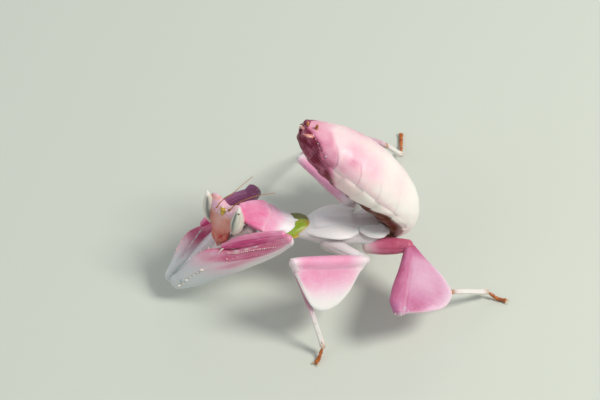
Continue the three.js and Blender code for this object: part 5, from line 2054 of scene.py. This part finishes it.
    def build_tarsus(self) -> None:
        """Makes the five-jointed foot and its two claws."""
        ankle, foot = vec(*self.ankle), vec(*self.foot)
        under = vec(ankle[0], ankle[1], 0)
        toe_start = foot + (under - foot) * 0.45
        toe_start[2] = self.foot_height + 0.05
        toe_end = vec(foot[0], foot[1], self.foot_height)
        bend = toe_start + (ankle - toe_start) * 0.4 + vec(0, 0, 0.05)
        r = self.toe
        joints = (0.4, 0.58, 0.71, 0.82)
        path = [ankle, bend, toe_start, toe_end]
        grid = tube(path, (r * 0.75, r * 0.8, r * 0.9, r * 0.95), sides=32, steps=160, ends=(0.1, 0.15))
        share, height = grid.share, np.zeros_like(grid.share)
        for start, end in zip((0.0, *joints), (*joints, 1.0)):
            through = (share - start) / (end - start)
            height += (share >= start) * (share < end) * (0.07 * smooth(through, 0.2, 0.95) - 0.09)
        grid = grid.raised(height)
        grid.points[..., 2] = np.maximum(grid.points[..., 2], 0.0)
        node = self.node("tarsus")
        self.shop.skin(f"{node}_joints", grid, Finish.FOOT, node)
        run = unit(toe_end - toe_start)
        across = unit(np.cross(run, vec(0, 0, 1)))
        for i, turn in enumerate((-1, 1)):
            root = toe_end + across * 0.1 * turn - run * 0.1
            bend = root + run * 0.32 + across * 0.16 * turn + vec(0, 0, 0.08)
            path = [root, bend, root + run * 0.5 + across * 0.2 * turn - vec(0, 0, 0.16)]
            claw = tube(path, (0.12, 0.09, 0.025), sides=16, steps=18)
            claw.points[..., 2] = np.maximum(claw.points[..., 2], 0.0)
            self.shop.skin(f"{node}_claw_{i + 1}", claw, Finish.CLAW)


FORELEGS = (
    Foreleg(
        Side.LEFT, shoulder=(-12.1, -0.85, 10.1), coxa_end=(-18.9, -0.75, 4.2),
        trochanter=(-20.19, -1.5, 3.44), knee=(-8.36, -3.9, 11.11), spined=(-0.422, 0.444, 0.791)
    ),
    Foreleg(
        Side.RIGHT, shoulder=(-12.3, 2.35, 9.8), coxa_end=(-19.3, 0.75, 3.9), trochanter=(-20.8, 0.45, 3.0),
        knee=(-11.07, 5.0, 10.2), spined=(-0.645, 0.189, 0.74)
    )
)
WALKING_LEGS = (
    WalkingLeg(
        Lobe.MID, Side.LEFT, hip=(-3.3, -1.75, 7.6), coxa_end=(0.9, -4.8, 7.15), knee=(-8.1, -8.0, 11.8),
        ankle=(-5.2, -12.2, 1.25), foot=(-6.2, -13.65, 0), hang=(-0.212, -0.577, -0.789),
        bow=(0.15, 0.5, -0.55), reach=5.8
    ),
    WalkingLeg(
        Lobe.MID, Side.RIGHT, hip=(-3.3, 1.75, 7.6), coxa_end=(0.7, 4.2, 7.3), knee=(-4.4, 12.2, 7.4),
        ankle=(-0.9, 20.1, 1.25), foot=(-1.6, 22.2, 0), hang=(0.236, 0.275, -0.932), bow=(-0.3, 0.2, 0.1),
        reach=5.8
    ),
    WalkingLeg(
        Lobe.HIND, Side.LEFT, hip=(1.7, -1.75, 6.2), coxa_end=(6.2, -3.0, 6.85), knee=(3.5, -12.6, 6.5),
        ankle=(15.3, -6.4, 1.05), foot=(17.35, -7.4, 0), hang=(0.93, -0.27, -0.25), bow=(0.2, 0.9, 0.45),
        reach=6.0
    ),
    WalkingLeg(
        Lobe.HIND, Side.RIGHT, hip=(1.7, 1.7, 6.5), coxa_end=(6.2, 3.0, 6.95), knee=(2.2, 11.3, 11.2),
        ankle=(8.95, 17.1, 1.25), foot=(9.7, 21.5, 0), hang=(0.448, 0.57, -0.69), bow=(0.2, 0.2, 0.3),
        reach=6.0
    )
)


# ---------------------------------------------------------------- stage


@dataclass
class Studio:
    """The floor, lights and camera.

    Attributes:
        azimuth: where the camera stands, in degrees from the animal's left side toward its head.
        elevation: its height above the horizon, in degrees.
        distance: from the camera to the point that it looks at, in millimetres.
        lens: its focal length, in millimetres.
        picture_width: width of the picture behind the lens, in millimetres.
        aim: the point that it looks at, on the animal's axes.
        floor_colour: of the plain paper that the animal stands on.
        floor_radius, floor_corners: size of the sheet, in millimetres, and how many corners its rim has.
        sky: strength of the even light all round.
    """

    azimuth: float = -8.0
    elevation: float = 47.0
    distance: float = 295.9
    lens: float = 150.9
    picture_width: float = 36.0
    aim: Point = (-5.747, 3.067, 10.086)
    floor_colour: str = "#d3dacf"
    floor_radius: float = 900.0
    floor_corners: int = 96
    sky: float = 0.42

    def directions(self) -> tuple[np.ndarray, np.ndarray, np.ndarray]:
        """Works out the camera's axes.

        Returns:
            Its right, its up and the way back to it.
        """
        a, e = math.radians(self.azimuth), math.radians(self.elevation)
        right = vec(math.cos(a), math.sin(a), 0)
        up = vec(-math.sin(a) * math.sin(e), math.cos(a) * math.sin(e), math.cos(e))
        return right, up, np.cross(right, up)

    def build(self) -> None:
        """Makes the stage."""
        self.build_floor()
        self.build_lights()
        self.build_camera()
        bpy.context.scene.view_settings.view_transform = "Standard"

    def build_floor(self) -> None:
        """Makes a round paper floor."""
        turn = np.linspace(0, 2 * np.pi, self.floor_corners, endpoint=False)
        radius = self.floor_radius * METRE
        rim = [(radius * math.cos(t), radius * math.sin(t), 0.0) for t in turn]
        mesh = bpy.data.meshes.new("paper_floor")
        mesh.from_pydata(rim, [], [tuple(range(len(rim)))])
        floor = bpy.data.objects.new("paper_floor", mesh)
        bpy.context.scene.collection.objects.link(floor)
        material, tree, place = blank("plain_paper")
        fibre = add(tree, "ShaderNodeTexNoise", {"Vector": place, "Scale": 1 / (0.8 * METRE), "Detail": 3.0})
        bump = add(tree, "ShaderNodeBump", {"Height": fibre, "Distance": 0.01 * METRE, "Strength": 0.3})
        paper = {"Normal": bump, "Base Color": linear(self.floor_colour), "Roughness": 0.9}
        feed(tree, tree.nodes["Principled BSDF"], paper)
        mesh.materials.append(material)

    def build_lights(self) -> None:
        """Makes a large soft key light, a weak fill and an even sky."""
        right, up, back = self.directions()
        target = vec(-2.0, 0.0, 9.0)
        lamps = {
            "key": (right * 0.62 + up * 0.42 + back * 0.66, 420.0, 150.0, 1.27, "#fffaf4"),
            "fill": (-right * 0.75 + up * 0.15 + back * 0.65, 460.0, 320.0, 0.24, "#f2f5ff"),
            "rim": (right * 0.2 + up * 1.0 - back * 0.2, 420.0, 200.0, 0.12, "#ffffff")
        }
        for name, (direction, distance, size, power, colour) in lamps.items():
            light = bpy.data.lights.new(f"{name}_softbox", "AREA")
            light.shape = "DISK"
            light.size = size * METRE
            light.energy = power
            light.color = linear(colour)[:3]
            lamp = bpy.data.objects.new(f"{name}_softbox", light)
            away = unit(direction)
            lamp.location = Vector((target + away * distance - MIDDLE) * METRE)
            lamp.rotation_euler = Vector(away).to_track_quat("Z", "Y").to_euler()
            bpy.context.scene.collection.objects.link(lamp)
        world = bpy.data.worlds.new("even_sky")
        world.use_nodes = True
        even = {"Color": linear("#f4f6f8"), "Strength": self.sky}
        feed(world.node_tree, world.node_tree.nodes["Background"], even)
        bpy.context.scene.world = world

    def build_camera(self) -> None:
        """Makes the camera, which looks down on the animal from its left."""
        right, up, back = self.directions()
        camera = bpy.data.cameras.new("camera")
        camera.lens, camera.sensor_width = self.lens, self.picture_width
        camera.clip_start, camera.clip_end = 0.01, 10.0
        holder = bpy.data.objects.new("camera", camera)
        place = (vec(*self.aim) + back * self.distance - MIDDLE) * METRE
        turned = np.stack([right, up, back, place], 1)
        holder.matrix_world = Matrix([*turned.tolist(), [0, 0, 0, 1]])
        bpy.context.scene.collection.objects.link(holder)
        bpy.context.scene.camera = holder


def main() -> None:
    """Builds the animal and its stage."""
    logging.basicConfig(level=logging.INFO, format="%(name)s: %(message)s")
    Studio().build()
    shop = Workshop()
    for part in (Head(), Thorax(), Abdomen(), *FORELEGS, *WALKING_LEGS):
        LOG.info("building %s", type(part).__name__)
        part.shop = shop
        part.build()
    LOG.info("%d pieces on %d CAD nodes", shop.count, len(frame["nodes"]))


if __name__ == "__main__":
    main()
